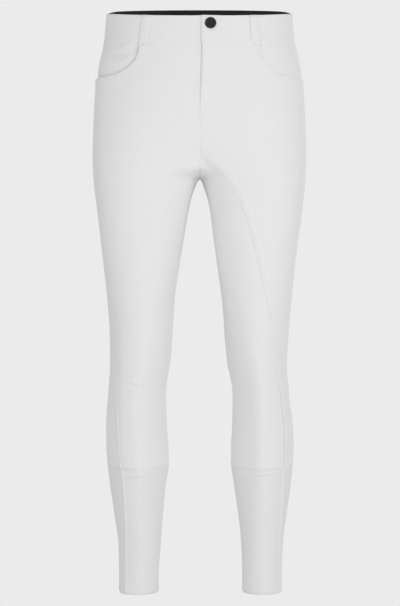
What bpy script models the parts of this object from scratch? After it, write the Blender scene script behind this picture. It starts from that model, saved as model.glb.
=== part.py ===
"""Riding breeches, filled out as when they are worn, as hollow cloth walls.

Metres, +Z up, the front towards -Y. The origin is the middle of the waistband at half its height,
where the wearer holds the garment up. Left and right are the wearer's, and left is +X.

Every piece is cut from one form, the outer face of the garment. A place on the form has a side, a
turn and a level. The level is a height in millimetres. The turn is an angle round one half of the
body: 0 faces the other leg, a quarter turn the front, a half turn the side of the hip and three
quarters the back. A panel is a grid of places between two seams, and its wall grows inwards.
"""

import math
from collections import namedtuple

import bmesh
import bpy
import numpy as np
from mathutils import Vector

MM = 0.001
LEFT, RIGHT = 1, -1
SIDE_NAMES = {LEFT: "left", RIGHT: "right"}
FULL_TURN = 2 * math.pi

# Cloth and layers, in millimetres. A depth is how far below the form's face a layer's outer face lies.
CLOTH = 1.4
CUFF_CLOTH = 1.2
FACING_CLOTH = 1.0
SEAM_GAP = 0.3
FORK_TIP_GAP = 0.8
LAYER_GAP = 0.4
UNDER_CLOTH = CLOTH + LAYER_GAP
UNDER_FLY = CLOTH + 0.8

# Levels, in millimetres
WAIST_TOP = 20.5
WAIST_SEAM = -21.5
POCKET_CORNER = -62.0
POCKET_FLOOR = -112.0
FLY_END = -187.0
FORK_TIP = -231.0
CROTCH = -269.0
CUFF_SEAM = -768.0
HEM = -987.5

# The hips and seat, down to the crotch: how far the side stands from the middle plane, where the section
# reaches furthest forward and back, and how deep the fork between the legs bites in (0 not at all, 1 shut).
# level, then Torso's columns
TORSO = (
    (30.0, 161.0, 0.0, 0.0, -106.0, 110.0, 0.0),
    (0.0, 163.3, 2.0, 0.0, -108.5, 115.0, 0.0),
    (-21.5, 165.4, 5.0, 0.0, -110.0, 119.0, 0.0),
    (-45.0, 169.6, 10.0, 0.0, -112.0, 124.0, 0.0),
    (-70.0, 175.0, 18.0, 0.0, -114.0, 129.0, 1.0),
    (-95.0, 179.2, 28.0, 0.0, -115.5, 133.5, 2.0),
    (-120.0, 181.3, 38.0, 0.01, -116.0, 137.0, 3.0),
    (-160.0, 183.8, 54.0, 0.06, -115.5, 139.0, 5.0),
    (-200.0, 185.4, 70.0, 0.20, -113.0, 134.0, 6.0),
    (-235.0, 185.9, 82.0, 0.48, -109.5, 126.0, 6.0),
    (-255.0, 185.4, 88.5, 0.74, -107.5, 121.0, 6.0),
    (-265.0, 184.9, 91.5, 0.93, -106.5, 118.0, 6.0),
    (-269.0, 184.6, 92.4, 0.997, -106.0, 117.0, 6.0),
)
Torso = namedtuple("Torso", "outer ridge pinch front back middle")

# The legs, from the crotch to the hem: how far each leg's edges stand from the middle plane, and its depth.
# level, then Legs' columns
LEGS = (
    (-269.0, 184.6, 0.3, 184.6, 0.3, -106.0, 117.0, 6.0),
    (-275.0, 184.2, 4.5, 184.0, 4.5, -105.5, 115.0, 6.0),
    (-285.0, 183.4, 8.0, 183.0, 8.6, -104.8, 112.0, 5.0),
    (-300.0, 181.6, 13.0, 181.0, 13.8, -103.5, 108.5, 4.0),
    (-330.0, 178.0, 19.4, 177.4, 20.0, -100.5, 101.0, 0.0),
    (-370.0, 172.2, 24.6, 172.6, 26.8, -96.0, 92.0, -2.0),
    (-420.0, 165.8, 30.8, 166.6, 35.0, -90.0, 82.0, -4.0),
    (-480.0, 159.6, 38.8, 160.0, 43.2, -82.5, 70.5, -7.0),
    (-540.0, 154.6, 43.6, 155.8, 47.0, -74.5, 58.5, -9.0),
    (-590.0, 151.6, 48.1, 155.6, 51.2, -68.0, 50.0, -8.0),
    (-640.0, 155.0, 57.4, 158.1, 58.4, -60.0, 51.0, -4.0),
    (-700.0, 162.8, 56.6, 162.4, 57.0, -51.0, 62.0, 4.0),
    (-735.0, 163.9, 54.9, 162.4, 54.4, -47.0, 64.5, 7.0),
    (-768.0, 162.4, 55.2, 159.7, 53.8, -44.5, 62.5, 8.0),
    (-800.0, 159.0, 59.9, 156.0, 58.4, -42.0, 56.0, 8.0),
    (-850.0, 151.9, 67.0, 148.6, 63.6, -38.5, 47.0, 6.0),
    (-910.0, 144.6, 72.8, 140.6, 68.0, -35.0, 40.0, 4.0),
    (-960.0, 143.2, 74.3, 140.1, 71.0, -34.0, 38.0, 3.0),
    (-1000.0, 143.2, 74.3, 140.1, 71.0, -34.0, 38.0, 3.0),
)
Legs = namedtuple("Legs", "left_outer left_inner right_outer right_inner front back middle")

# The waist slopes down to the front, and so does the cuff seam a little: rise in z for each step in y.
SLOPE = (
    (30.0, 0.18), (-10.0, 0.18), (-60.0, 0.14), (-130.0, 0.06), (-200.0, 0.0), (-700.0, 0.0),
    (-755.0, 0.10), (-780.0, 0.10), (-860.0, 0.02), (-1000.0, 0.02),
)

# Sections are a little squarer than ellipses (2), but the shins have flat flanks that meet in a soft ridge.
# level, squareness of the front half
FRONT_SQUARENESS = (
    (30.0, 2.2), (-300.0, 2.2), (-450.0, 2.05), (-560.0, 1.7), (-640.0, 1.45), (-780.0, 1.45), (-860.0, 1.6),
    (-1000.0, 1.8),
)
BACK_SQUARENESS = 2.2

# Without a pinch the section runs flat to the middle plane.
LEAST_PINCH = 0.001
FLAT_REACH = 50000.0

# Seams, by level. The edge of the fly is a distance from the middle plane.
FLY_EDGE = ((30.0, 1.6), (-21.5, 2.2), (-30.0, 3.4), (-80.0, 2.4), (-187.0, 0.15), (-300.0, 0.15))
SIDE_SEAM_DEGREES = (
    (30.0, 194.0), (-100.0, 197.0), (-300.0, 200.0), (-500.0, 206.0), (-620.0, 214.0), (-1000.0, 214.0),
)
POCKET_EDGE_DEGREES = ((-21.5, 125.4), (-40.0, 124.4), (-62.0, 125.0))
# The forward-set leg seam leaves the centre front above the crotch, crosses the thigh and runs down the shin.
LEG_SEAM_THIGH = (
    (-231.0, 0.15), (-246.0, 20.0), (-268.0, 43.0), (-310.0, 68.0), (-361.0, 85.5), (-445.0, 106.0),
    (-513.0, 120.0),
)
LEG_SEAM = {
    LEFT: LEG_SEAM_THIGH + (
        (-591.0, 132.0), (-651.0, 140.5), (-720.0, 146.5), (-773.0, 146.4), (-824.0, 144.0),
        (-892.0, 140.0), (-1000.0, 139.5),
    ),
    RIGHT: LEG_SEAM_THIGH + (
        (-591.0, 134.5), (-651.0, 137.0), (-720.0, 135.2), (-773.0, 130.5), (-824.0, 126.8),
        (-892.0, 125.0), (-1000.0, 125.0),
    ),
}
# The scooped lower edge of the pocket mouth: turn in degrees, level.
POCKET_SCOOP = (
    (125.0, -62.0), (128.0, -71.5), (136.6, -87.0), (150.0, -93.2), (180.0, -96.4), (197.0, -97.5),
)

# The largest soft folds, across the back of each knee. Heights and rises in millimetres.
Fold = namedtuple("Fold", "degrees level half_degrees half_height slant rise")
FOLDS = (
    Fold(270.0, -576.0, 44.0, 15.0, 0.25, -2.4),
    Fold(275.0, -599.0, 50.0, 16.0, 0.3, 2.0),
    Fold(265.0, -623.0, 42.0, 15.0, -0.25, -2.2),
)

# Grid sizes. The pocket edge is a column of the front, and the back has a column this far from the middle
# plane, in millimetres, from the waist to the cuff.
FRONT_COLUMNS = 12
POCKET_COLUMN = 5
BACK_COLUMNS = 12
BACK_MIDDLE = 94.0
FORK_COLUMNS = 7
CUFF_COLUMNS = 20
POCKET_ROWS = 3
BODY_LEVELS = (
    -135.0, -160.0, -187.0, -210.0, -231.0, -246.0, -257.0, -263.0, -266.6, -269.0, -275.0, -285.0, -302.0,
    -330.0, -365.0, -405.0, -450.0, -495.0, -535.0, -562.0, -580.0, -598.0, -616.0, -636.0, -662.0, -695.0,
    -732.0,
)
CUFF_LEVELS = (-790.0, -818.0, -852.0, -890.0, -925.0, -958.0)

# Trims, in millimetres
FLY_LIFT = 1.0
FLY_RISE = 30.0
UNDERLAP_WIDTH = 33.0
UNDERLAP_STEP = 11.0
LOOP_WIDTH = 16.0
LOOP_CLOTH = 1.5
LOOP_REST = 0.35
LOOP_ARCH = 0.9
LOOP_FOOT = -34.0
LOOP_ROWS = 5
LOOPS = (
    ("front_left", LEFT, 122.3),
    ("front_right", RIGHT, 122.3),
    ("side_left", LEFT, 214.0),
    ("side_right", RIGHT, 214.0),
)
BUTTON_ACROSS = 18.4
BUTTON_LEVEL = 8.0
BUTTON_REST = 0.8
BUTTON_STEPS = 20
BUTTON_PROFILE = (
    (0.0, 1.7), (5.2, 1.7), (6.6, 2.0), (7.6, 2.9), (8.5, 3.2), (9.3, 2.9), (9.7, 2.1), (9.5, 1.0),
    (8.6, 0.3), (0.0, 0.0),
)

Place = namedtuple("Place", "side turn level lift")
Section = namedtuple("Section", "ridge reach_in reach_out reach_front reach_back middle")


def smooth_table(rows):
    """The rows sorted by their first column, with slopes that let a cubic through them not overshoot."""
    table = np.array(sorted(rows), float)
    keys, values = table[:, 0], table[:, 1:]
    secants = np.diff(values, axis=0) / np.diff(keys)[:, None]
    before, after = secants[:-1], secants[1:]
    total = np.where(before + after == 0, 1.0, before + after)
    inside = np.where(before * after > 0, 2 * before * after / total, 0.0)
    return keys, values, np.vstack([secants[:1], inside, secants[-1:]])


def read(table, key):
    """The values of a smooth table at this key."""
    keys, values, slopes = table
    row = int(np.clip(np.searchsorted(keys, key) - 1, 0, len(keys) - 2))
    span = keys[row + 1] - keys[row]
    t = (key - keys[row]) / span
    start = (1 + 2 * t) * (1 - t) ** 2 * values[row] + t * (1 - t) ** 2 * span * slopes[row]
    end = t * t * (3 - 2 * t) * values[row + 1] - t * t * (1 - t) * span * slopes[row + 1]
    return start + end


TORSO_TABLE = smooth_table(TORSO)
LEGS_TABLE = smooth_table(LEGS)
SLOPE_TABLE = smooth_table(SLOPE)
SQUARENESS_TABLE = smooth_table(FRONT_SQUARENESS)
FLY_TABLE = smooth_table(FLY_EDGE)
SIDE_SEAM_TABLE = smooth_table(SIDE_SEAM_DEGREES)
POCKET_EDGE_TABLE = smooth_table(POCKET_EDGE_DEGREES)
POCKET_SCOOP_TABLE = smooth_table(POCKET_SCOOP)
LEG_SEAM_TABLES = {side: smooth_table(LEG_SEAM[side]) for side in (LEFT, RIGHT)}


def section(side, level):
    """The outline of one half of the body at this level: its ridge line and its reach each way from there."""
    if level > CROTCH:
        cut = Torso(*read(TORSO_TABLE, level))
        outer, ridge = cut.outer, cut.ridge
        reach_in = ridge / cut.pinch if cut.pinch > LEAST_PINCH else FLAT_REACH
    else:
        cut = Legs(*read(LEGS_TABLE, level))
        outer = cut.left_outer if side == LEFT else cut.right_outer
        inner = cut.left_inner if side == LEFT else cut.right_inner
        ridge = (outer + inner) / 2
        reach_in = ridge - inner
    reach_front, reach_back = cut.middle - cut.front, cut.back - cut.middle
    return Section(ridge, reach_in, outer - ridge, reach_front, reach_back, cut.middle)


def squareness(level, behind):
    return BACK_SQUARENESS if behind else read(SQUARENESS_TABLE, level)[0]


def bent(value, power):
    """The value raised to a power, with its sign kept."""
    return math.copysign(abs(value) ** power, value)


def form_point(side, turn, level):
    """The point of the smooth form, without folds, in millimetres."""
    cut = section(side, level)
    power = 2 / squareness(level, behind=math.sin(turn) < 0)
    across, forward = bent(-math.cos(turn), power), bent(math.sin(turn), power)
    x = cut.ridge + across * (cut.reach_out if across > 0 else cut.reach_in)
    y = cut.middle - forward * (cut.reach_front if forward > 0 else cut.reach_back)
    return np.array([side * x, y, level + read(SLOPE_TABLE, level)[0] * y])


def form_normal(side, turn, level):
    """The way out of the form."""
    step_turn, step_level = 0.004, 0.5
    around = form_point(side, turn + step_turn, level) - form_point(side, turn - step_turn, level)
    upward = form_point(side, turn, level + step_level) - form_point(side, turn, level - step_level)
    normal = side * np.cross(around, upward)
    return normal / np.linalg.norm(normal)


def fold_rise(turn, level):
    """How far the largest folds lift the cloth here."""
    rise = 0.0
    for fold in FOLDS:
        along = (math.degrees(turn) % 360 - fold.degrees) / fold.half_degrees
        across = (level - fold.level) / fold.half_height - fold.slant * along
        rise += fold.rise * math.exp(-2 * along * along - 2 * across * across)
    return rise


def placed(place, depth=0.0):
    """The point at a depth below the outer face of this place's cloth. On the middle plane it stays there."""
    point = form_point(place.side, place.turn, place.level)
    normal = form_normal(place.side, place.turn, place.level)
    if abs(point[0]) < 1.0:
        flat = normal * (0, 1, 1)
        normal = flat / flat.dot(flat)
    lift = place.lift + fold_rise(place.turn, place.level)
    return point + normal * (lift - depth)


def turn_at(side, level, x, behind=False):
    """The turn of the point that stands this far from the middle plane, in front or behind."""
    cut = section(side, level)
    beyond = x - cut.ridge
    across = beyond / (cut.reach_out if beyond > 0 else cut.reach_in)
    turn = math.acos(-bent(min(1.0, max(-1.0, across)), squareness(level, behind) / 2))
    return FULL_TURN - turn if behind else turn


def turn_step(side, turn, level, distance):
    """How far to turn to move this distance along the form."""
    step = 0.002
    moved = form_point(side, turn + step, level) - form_point(side, turn - step, level)
    return distance * 2 * step / np.linalg.norm(moved)


def parted(side, turn, level, towards, slant=0.0):
    """The turn half a seam gap on (1) or back (-1) round the leg from a seam that leans by this slant."""
    return turn + towards * turn_step(side, turn, level, SEAM_GAP / 2 * math.hypot(1, slant))


def side_seam(level):
    return math.radians(read(SIDE_SEAM_TABLE, level)[0])


def pocket_edge(level):
    return math.radians(read(POCKET_EDGE_TABLE, level)[0])


def leg_seam(side, level):
    return turn_at(side, level, read(LEG_SEAM_TABLES[side], level)[0])


def beside_leg_seam(side, level, towards, laps=0):
    """The turn of the leg seam's edge on one side of its gap."""
    above, below = (read(LEG_SEAM_TABLES[side], near)[0] for near in (level + 1, level - 1))
    return parted(side, leg_seam(side, level) + laps * FULL_TURN, level, towards, (above - below) / 2)


def centre_place(x, level, lift=0.0):
    """The place on the centre front at this signed distance from the middle plane."""
    side = LEFT if x > 0 else RIGHT
    return Place(side, turn_at(side, level, abs(x)), level, lift)


def evenly(side, level, start, stop, count):
    """Turns from start to stop that are the same distance apart along the form."""
    samples = np.linspace(start, stop, 8 * count + 1)
    points = np.array([form_point(side, turn, level) for turn in samples])
    lengths = np.concatenate([[0.0], np.cumsum(np.linalg.norm(np.diff(points, axis=0), axis=1))])
    return np.interp(np.linspace(0, lengths[-1], count + 1), lengths, samples)


def fade(distance, width):
    """1 at no distance, falling softly to 0 at the width."""
    t = min(1.0, max(0.0, distance / width))
    return 1 - t * t * (3 - 2 * t)


# The front


def pocket_level(turn, row):
    """The level of a pocket row at this turn: evenly from the waist seam to the scoop, then to the floor."""
    degrees = math.degrees(turn)
    scoop = read(POCKET_SCOOP_TABLE, degrees)[0] if degrees > POCKET_SCOOP[0][0] else POCKET_CORNER
    top, bottom = (WAIST_SEAM, scoop) if row <= POCKET_ROWS else (scoop, POCKET_FLOOR)
    share = row / POCKET_ROWS if row <= POCKET_ROWS else row / POCKET_ROWS - 1
    return top + (bottom - top) * share


def pocket_row(side, row):
    """One row of places between the centre front and the side seam in the height of the pocket."""
    level = WAIST_SEAM + (POCKET_CORNER - WAIST_SEAM) * min(1.0, row / POCKET_ROWS)
    edge = pocket_edge(level)
    inner_turns = evenly(side, level, turn_at(side, level, 0.0), edge, POCKET_COLUMN)
    outer_turns = evenly(side, level, edge, side_seam(level), FRONT_COLUMNS - POCKET_COLUMN)
    turns = [*inner_turns[:-1], *outer_turns]
    return [Place(side, turn, pocket_level(turn, row), 0.0) for turn in turns]


def with_fly_edge(side, row):
    """The row, cut to the fly's edge on its first place. The left side lies on top, so its edge is raised."""
    level = row[0].level
    edge = read(FLY_TABLE, level)[0]
    if side == RIGHT:
        return [centre_place(edge - SEAM_GAP, level), *row[1:]]
    lift = FLY_LIFT * (1 - fade(level - FLY_END, FLY_RISE))
    return [centre_place(edge, level, lift), *row[1:]]


def at_waist_seam(row):
    """The row, half a gap below the waist seam."""
    return [place and place._replace(level=place.level - SEAM_GAP / 2) for place in row]


def body_levels():
    return (*BODY_LEVELS, CUFF_SEAM + SEAM_GAP / 2)


def leg_row_of_front(side, level):
    start = turn_at(side, level, 0.0) if level >= FORK_TIP else beside_leg_seam(side, level, 1)
    stop = parted(side, side_seam(level), level, -1)
    return [Place(side, turn, level, 0.0) for turn in evenly(side, level, start, stop, FRONT_COLUMNS)]


def front_rows(side):
    rows = []
    for number in range(2 * POCKET_ROWS + 1):
        row = with_fly_edge(side, pocket_row(side, number))
        last = row[-1]
        row[-1] = last._replace(turn=parted(side, last.turn, last.level, -1))
        if number < POCKET_ROWS:
            row[POCKET_COLUMN + 1:] = [None] * (FRONT_COLUMNS - POCKET_COLUMN)
        rows.append(at_waist_seam(row) if number == 0 else row)
    for level in body_levels():
        row = leg_row_of_front(side, level)
        rows.append(with_fly_edge(side, row) if level >= FORK_TIP else row)
    return rows


def pocket_facing_rows(side):
    """The hip piece under the pocket mouth: one column and one row further in than the mouth."""
    rows = [pocket_row(side, number)[POCKET_COLUMN - 1:] for number in range(POCKET_ROWS + 2)]
    return [at_waist_seam(rows[0]), *rows[1:]]


# The back, with the fork that wraps round the inside of the leg


def seat_row(side, level):
    """From the side seam to the centre back or the inside of the leg, with a column down the middle."""
    start = parted(side, side_seam(level), level, 1)
    middle = turn_at(side, level, BACK_MIDDLE, behind=True)
    stop = turn_at(side, level, SEAM_GAP / 2, behind=True) if level > CROTCH else FULL_TURN
    outer_turns = evenly(side, level, start, middle, BACK_COLUMNS // 2)
    inner_turns = evenly(side, level, middle, stop, BACK_COLUMNS // 2)
    return [Place(side, turn, level, 0.0) for turn in (*outer_turns, *inner_turns[1:])]


def fork_row(side, level, seat):
    """From the centre front or, below the crotch, from the seat's last place, forwards to the leg seam."""
    if level >= FORK_TIP:
        tip_level = level - FORK_TIP_GAP
        tip = Place(side, turn_at(side, tip_level, SEAM_GAP / 2), tip_level, 0.0)
        return [tip] * (FORK_COLUMNS + 1)
    start = turn_at(side, level, SEAM_GAP / 2) if level > CROTCH else 0.0
    turns = evenly(side, level, start, beside_leg_seam(side, level, -1), FORK_COLUMNS)
    first = seat[-1] if level <= CROTCH else Place(side, turns[0], level, 0.0)
    return [first, *(Place(side, turn, level, 0.0) for turn in turns[1:])]


def back_rows(side):
    edge = side_seam(POCKET_CORNER)
    pocket_levels = [pocket_level(edge, number) for number in range(2 * POCKET_ROWS + 1)]
    pocket_levels[0] -= SEAM_GAP / 2
    seats = [seat_row(side, level) for level in (*pocket_levels, *body_levels())]
    forks = [fork_row(side, row[0].level, row) for row in seats if row[0].level <= FORK_TIP]
    return seats, forks


def cuff_rows(side):
    rows = []
    for level in (CUFF_SEAM - SEAM_GAP / 2, *CUFF_LEVELS, HEM):
        start = beside_leg_seam(side, level, 1)
        stop = beside_leg_seam(side, level, -1, laps=1)
        turns = evenly(side, level, start, stop, CUFF_COLUMNS)
        rows.append([Place(side, turn, level, 0.0) for turn in turns])
    return rows


# The waist


def waist_levels():
    return WAIST_TOP, (WAIST_TOP + WAIST_SEAM) / 2, WAIST_SEAM + SEAM_GAP / 2


def waist_row(side, level):
    """The waistband of one side, from the centre front to the centre back."""
    start = turn_at(side, level, 0.0)
    stop = turn_at(side, level, SEAM_GAP / 2, behind=True)
    turns = evenly(side, level, start, stop, FRONT_COLUMNS + BACK_COLUMNS)
    return [Place(side, turn, level, 0.0) for turn in turns]


def waistband_left_rows():
    return [with_fly_edge(LEFT, waist_row(LEFT, level)) for level in waist_levels()]


def waistband_right_rows():
    """The right end steps down under the left one and runs on to the underlap's width."""
    rows = []
    for level in waist_levels():
        underlap = [centre_place(x, level, -UNDER_FLY) for x in (UNDERLAP_WIDTH, UNDERLAP_WIDTH / 2, 1.0)]
        step = centre_place(-UNDERLAP_STEP, level)
        rows.append([*underlap, step, *waist_row(RIGHT, level)[1:]])
    return rows


def fly_underlap_rows():
    """The shield behind the fly, from just inside the right front to the underlap's width."""
    levels = np.linspace(WAIST_SEAM - SEAM_GAP / 2, FLY_END - UNDERLAP_STEP, 7)
    across = (UNDERLAP_WIDTH, UNDERLAP_WIDTH / 2, 1.0, -UNDERLAP_STEP)
    return [[centre_place(x, level, -UNDER_FLY) for x in across] for level in levels]


def facing_rows(side):
    """The black strip inside the waistband, made from the waistband's own places."""
    first = 2 if side == LEFT else 1
    return [waist_row(side, level)[first:] for level in waist_levels()]


def loop_lifts():
    """The levels and lifts down a belt loop, sewn down at its head and its foot and arched between them."""
    for share in np.linspace(0, 1, LOOP_ROWS + 1):
        level = WAIST_TOP + (LOOP_FOOT - WAIST_TOP) * share
        yield level, LOOP_REST + LOOP_CLOTH + LOOP_ARCH * math.sin(math.pi * share)


def loop_rows(side, middle_degrees):
    middle = math.radians(middle_degrees)
    rows = []
    for level, lift in loop_lifts():
        half = turn_step(side, middle, level, LOOP_WIDTH / 2)
        rows.append([Place(side, middle + way * half, level, lift) for way in (-1, 0, 1)])
    return rows


def back_loop_rows():
    """The loop on the centre back, half on each side."""
    rows = []
    for level, lift in loop_lifts():
        reaches = ((LEFT, LOOP_WIDTH / 2), (LEFT, 0.0), (RIGHT, LOOP_WIDTH / 2))
        rows.append([Place(side, turn_at(side, level, x, behind=True), level, lift) for side, x in reaches])
    return rows


# Building


def clear_scene():
    for thing in list(bpy.data.objects):
        bpy.data.objects.remove(thing)


def finish(name, colour, roughness, metallic=0.0):
    material = bpy.data.materials.new(name)
    material.use_nodes = True
    shader = material.node_tree.nodes["Principled BSDF"]
    shader.inputs["Base Color"].default_value = (*colour, 1.0)
    shader.inputs["Roughness"].default_value = roughness
    shader.inputs["Metallic"].default_value = metallic
    return material


def quads_of(grids):
    """The distinct places of some grids, and the faces between them as place numbers."""
    numbers, faces = {}, []
    for rows in grids:
        for upper, lower in zip(rows, rows[1:]):
            for corners in zip(upper, lower, lower[1:], upper[1:]):
                if None in corners:
                    continue
                distinct = list(dict.fromkeys(corners))
                if len(distinct) > 2:
                    faces.append([numbers.setdefault(place, len(numbers)) for place in distinct])
    return list(numbers), faces


def open_edges(faces):
    """The edges that only one face has, each in its face's direction."""
    edges = [edge for face in faces for edge in zip(face, face[1:] + face[:1])]
    known = set(edges)
    return [(start, end) for start, end in edges if (end, start) not in known]


def split_short(face, points):
    """A quad, turned so that its triangles meet on its shorter diagonal."""
    if len(face) < 4:
        return face
    corners = [points[number] for number in face]
    first, second = (np.linalg.norm(corners[k] - corners[k + 2]) for k in (0, 1))
    return face if first <= second else face[1:] + face[:1]


def wall(name, grids, thickness, material, depth=0.0):
    """A closed cloth wall whose outer face runs through the places of the grids."""
    places, faces = quads_of(grids)
    count = len(places)
    points = [placed(place, depth) for place in places]
    faces = [split_short(face, points) for face in faces]
    points += [placed(place, depth + thickness) for place in places]
    inner = [[number + count for number in (face[0], *reversed(face[1:]))] for face in faces]
    rim = [[end, start, start + count, end + count] for start, end in open_edges(faces)]
    mesh = bpy.data.meshes.new(name)
    mesh.from_pydata([point * MM for point in points], [], faces + inner + rim)
    shape = bmesh.new()
    shape.from_mesh(mesh)
    bmesh.ops.recalc_face_normals(shape, faces=shape.faces)
    shape.to_mesh(mesh)
    shape.free()
    mesh.shade_smooth()
    mesh.set_sharp_from_angle(angle=math.radians(35))
    mesh.materials.append(material)
    return bpy.data.objects.new(name, mesh)


def button(material):
    """A turned cap with a raised rim, on the left end of the waistband."""
    place = Place(LEFT, turn_at(LEFT, BUTTON_LEVEL, BUTTON_ACROSS), BUTTON_LEVEL, 0.0)
    normal = form_normal(place.side, place.turn, place.level)
    mesh = bpy.data.meshes.new("waist_button")
    points = [(radius * MM, 0.0, height * MM) for radius, height in BUTTON_PROFILE]
    mesh.from_pydata(points, [(k, k + 1) for k in range(len(points) - 1)], [])
    mesh.materials.append(material)
    thing = bpy.data.objects.new("waist_button", mesh)
    turned = thing.modifiers.new("turned", "SCREW")
    turned.steps = turned.render_steps = BUTTON_STEPS
    turned.use_merge_vertices = True
    turned.merge_threshold = 0.00001
    thing.location = placed(place, -BUTTON_REST) * MM
    thing.rotation_mode = "QUATERNION"
    thing.rotation_quaternion = Vector(normal.tolist()).to_track_quat("Z", "Y")
    return thing


def build():
    clear_scene()
    white = finish("white_cloth", (0.82, 0.82, 0.81), 0.85)
    stretch = finish("white_stretch_cloth", (0.76, 0.76, 0.76), 0.8)
    black = finish("black_facing", (0.012, 0.012, 0.013), 0.7)
    metal = finish("gunmetal", (0.08, 0.08, 0.085), 0.35, 0.9)
    things = []
    for side, name in SIDE_NAMES.items():
        things.append(wall(f"front_{name}", [front_rows(side)], CLOTH, white))
        things.append(wall(f"back_{name}", back_rows(side), CLOTH, white))
        things.append(wall(f"cuff_{name}", [cuff_rows(side)], CUFF_CLOTH, stretch))
        things.append(wall(f"pocket_facing_{name}", [pocket_facing_rows(side)], CLOTH, white, UNDER_CLOTH))
        things.append(wall(f"facing_{name}", [facing_rows(side)], FACING_CLOTH, black, UNDER_CLOTH))
    things.append(wall("waistband_left", [waistband_left_rows()], CLOTH, white))
    things.append(wall("waistband_right", [waistband_right_rows()], CLOTH, white))
    things.append(wall("fly_underlap", [fly_underlap_rows()], CLOTH, white))
    for name, side, degrees in LOOPS:
        things.append(wall(f"belt_loop_{name}", [loop_rows(side, degrees)], LOOP_CLOTH, white))
    things.append(wall("belt_loop_back", [back_loop_rows()], LOOP_CLOTH, white))
    things.append(button(metal))
    collection = bpy.data.collections.new("riding_breeches")
    bpy.context.scene.collection.children.link(collection)
    for thing in things:
        collection.objects.link(thing)


build()
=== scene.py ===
"""The looks of the riding breeches: fine cloth, seams, stitching, creases and the button, over the frame.

Sizes are in millimetres unless a name says otherwise, and become metres where a mesh is made. A place on
the form has a side (1 is the wearer's left, -1 the right), a turn round that half of the body (0 faces the
other leg, a quarter turn the front, a half turn the hip, three quarters the back) and a level, its height.
"""

import math
from collections import namedtuple

import bmesh
import bpy
import numpy as np
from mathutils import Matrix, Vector


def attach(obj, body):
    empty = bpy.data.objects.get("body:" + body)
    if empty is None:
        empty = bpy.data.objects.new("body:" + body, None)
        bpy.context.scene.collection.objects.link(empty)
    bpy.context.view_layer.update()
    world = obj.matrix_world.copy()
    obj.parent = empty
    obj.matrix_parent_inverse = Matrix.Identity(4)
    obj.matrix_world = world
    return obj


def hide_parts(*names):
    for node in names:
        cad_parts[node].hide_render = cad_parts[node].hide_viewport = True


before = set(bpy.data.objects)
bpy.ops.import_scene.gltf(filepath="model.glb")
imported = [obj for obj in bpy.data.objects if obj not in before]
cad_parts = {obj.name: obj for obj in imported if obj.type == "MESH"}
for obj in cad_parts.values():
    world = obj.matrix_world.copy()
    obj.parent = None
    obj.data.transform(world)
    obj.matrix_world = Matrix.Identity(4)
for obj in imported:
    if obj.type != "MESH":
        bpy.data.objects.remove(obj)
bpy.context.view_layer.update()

MM = 0.001
LEFT, RIGHT = 1, -1
SIDE_NAMES = {LEFT: "left", RIGHT: "right"}
FULL_TURN = 2 * math.pi


# ---- smooth tables


def smooth_table(rows):
    """The rows sorted by their first column, with slopes that let a cubic through them not overshoot."""
    table = np.array(sorted(rows), float)
    keys, values = table[:, 0], table[:, 1:]
    secants = np.diff(values, axis=0) / np.diff(keys)[:, None]
    before, after = secants[:-1], secants[1:]
    total = np.where(before + after == 0, 1.0, before + after)
    inside = np.where(before * after > 0, 2 * before * after / total, 0.0)
    return keys, values, np.vstack([secants[:1], inside, secants[-1:]])


def read(table, key):
    """The columns of a smooth table at these keys, each as an array of the keys' shape."""
    keys, values, slopes = table
    key = np.asarray(key, float)
    row = np.clip(np.searchsorted(keys, key) - 1, 0, len(keys) - 2)
    span = (keys[row + 1] - keys[row])[..., None]
    t = (key - keys[row])[..., None] / span
    start = (1 + 2 * t) * (1 - t) ** 2 * values[row] + t * (1 - t) ** 2 * span * slopes[row]
    end = t * t * (3 - 2 * t) * values[row + 1] - t * t * (1 - t) * span * slopes[row + 1]
    return np.moveaxis(start + end, -1, 0)


# ---- the form

WAIST_TOP = 20.5
WAIST_SEAM = -21.5
POCKET_CORNER = -62.0
POCKET_FLOOR = -112.0
FLY_END = -187.0
FORK_TIP = -231.0
CROTCH = -269.0
CUFF_SEAM = -768.0
HEM = -987.5

# These are the tables of the solids, apart from the last row of TORSO and the first of LEGS. Between these
# two the solids have a step of under 1 mm all round, which is closed here.
# level, outer, ridge, pinch, front, back, middle
TORSO = smooth_table((
    (30, 161, 0, 0, -106, 110, 0),
    (0, 163.3, 2, 0, -108.5, 115, 0),
    (-21.5, 165.4, 5, 0, -110, 119, 0),
    (-45, 169.6, 10, 0, -112, 124, 0),
    (-70, 175, 18, 0, -114, 129, 1),
    (-95, 179.2, 28, 0, -115.5, 133.5, 2),
    (-120, 181.3, 38, 0.01, -116, 137, 3),
    (-160, 183.8, 54, 0.06, -115.5, 139, 5),
    (-200, 185.4, 70, 0.20, -113, 134, 6),
    (-235, 185.9, 82, 0.48, -109.5, 126, 6),
    (-255, 185.4, 88.5, 0.74, -107.5, 121, 6),
    (-265, 184.9, 91.5, 0.93, -106.5, 118, 6),
    (-269, 184.6, 92.4, 1.0022, -106, 117, 6),
))
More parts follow.
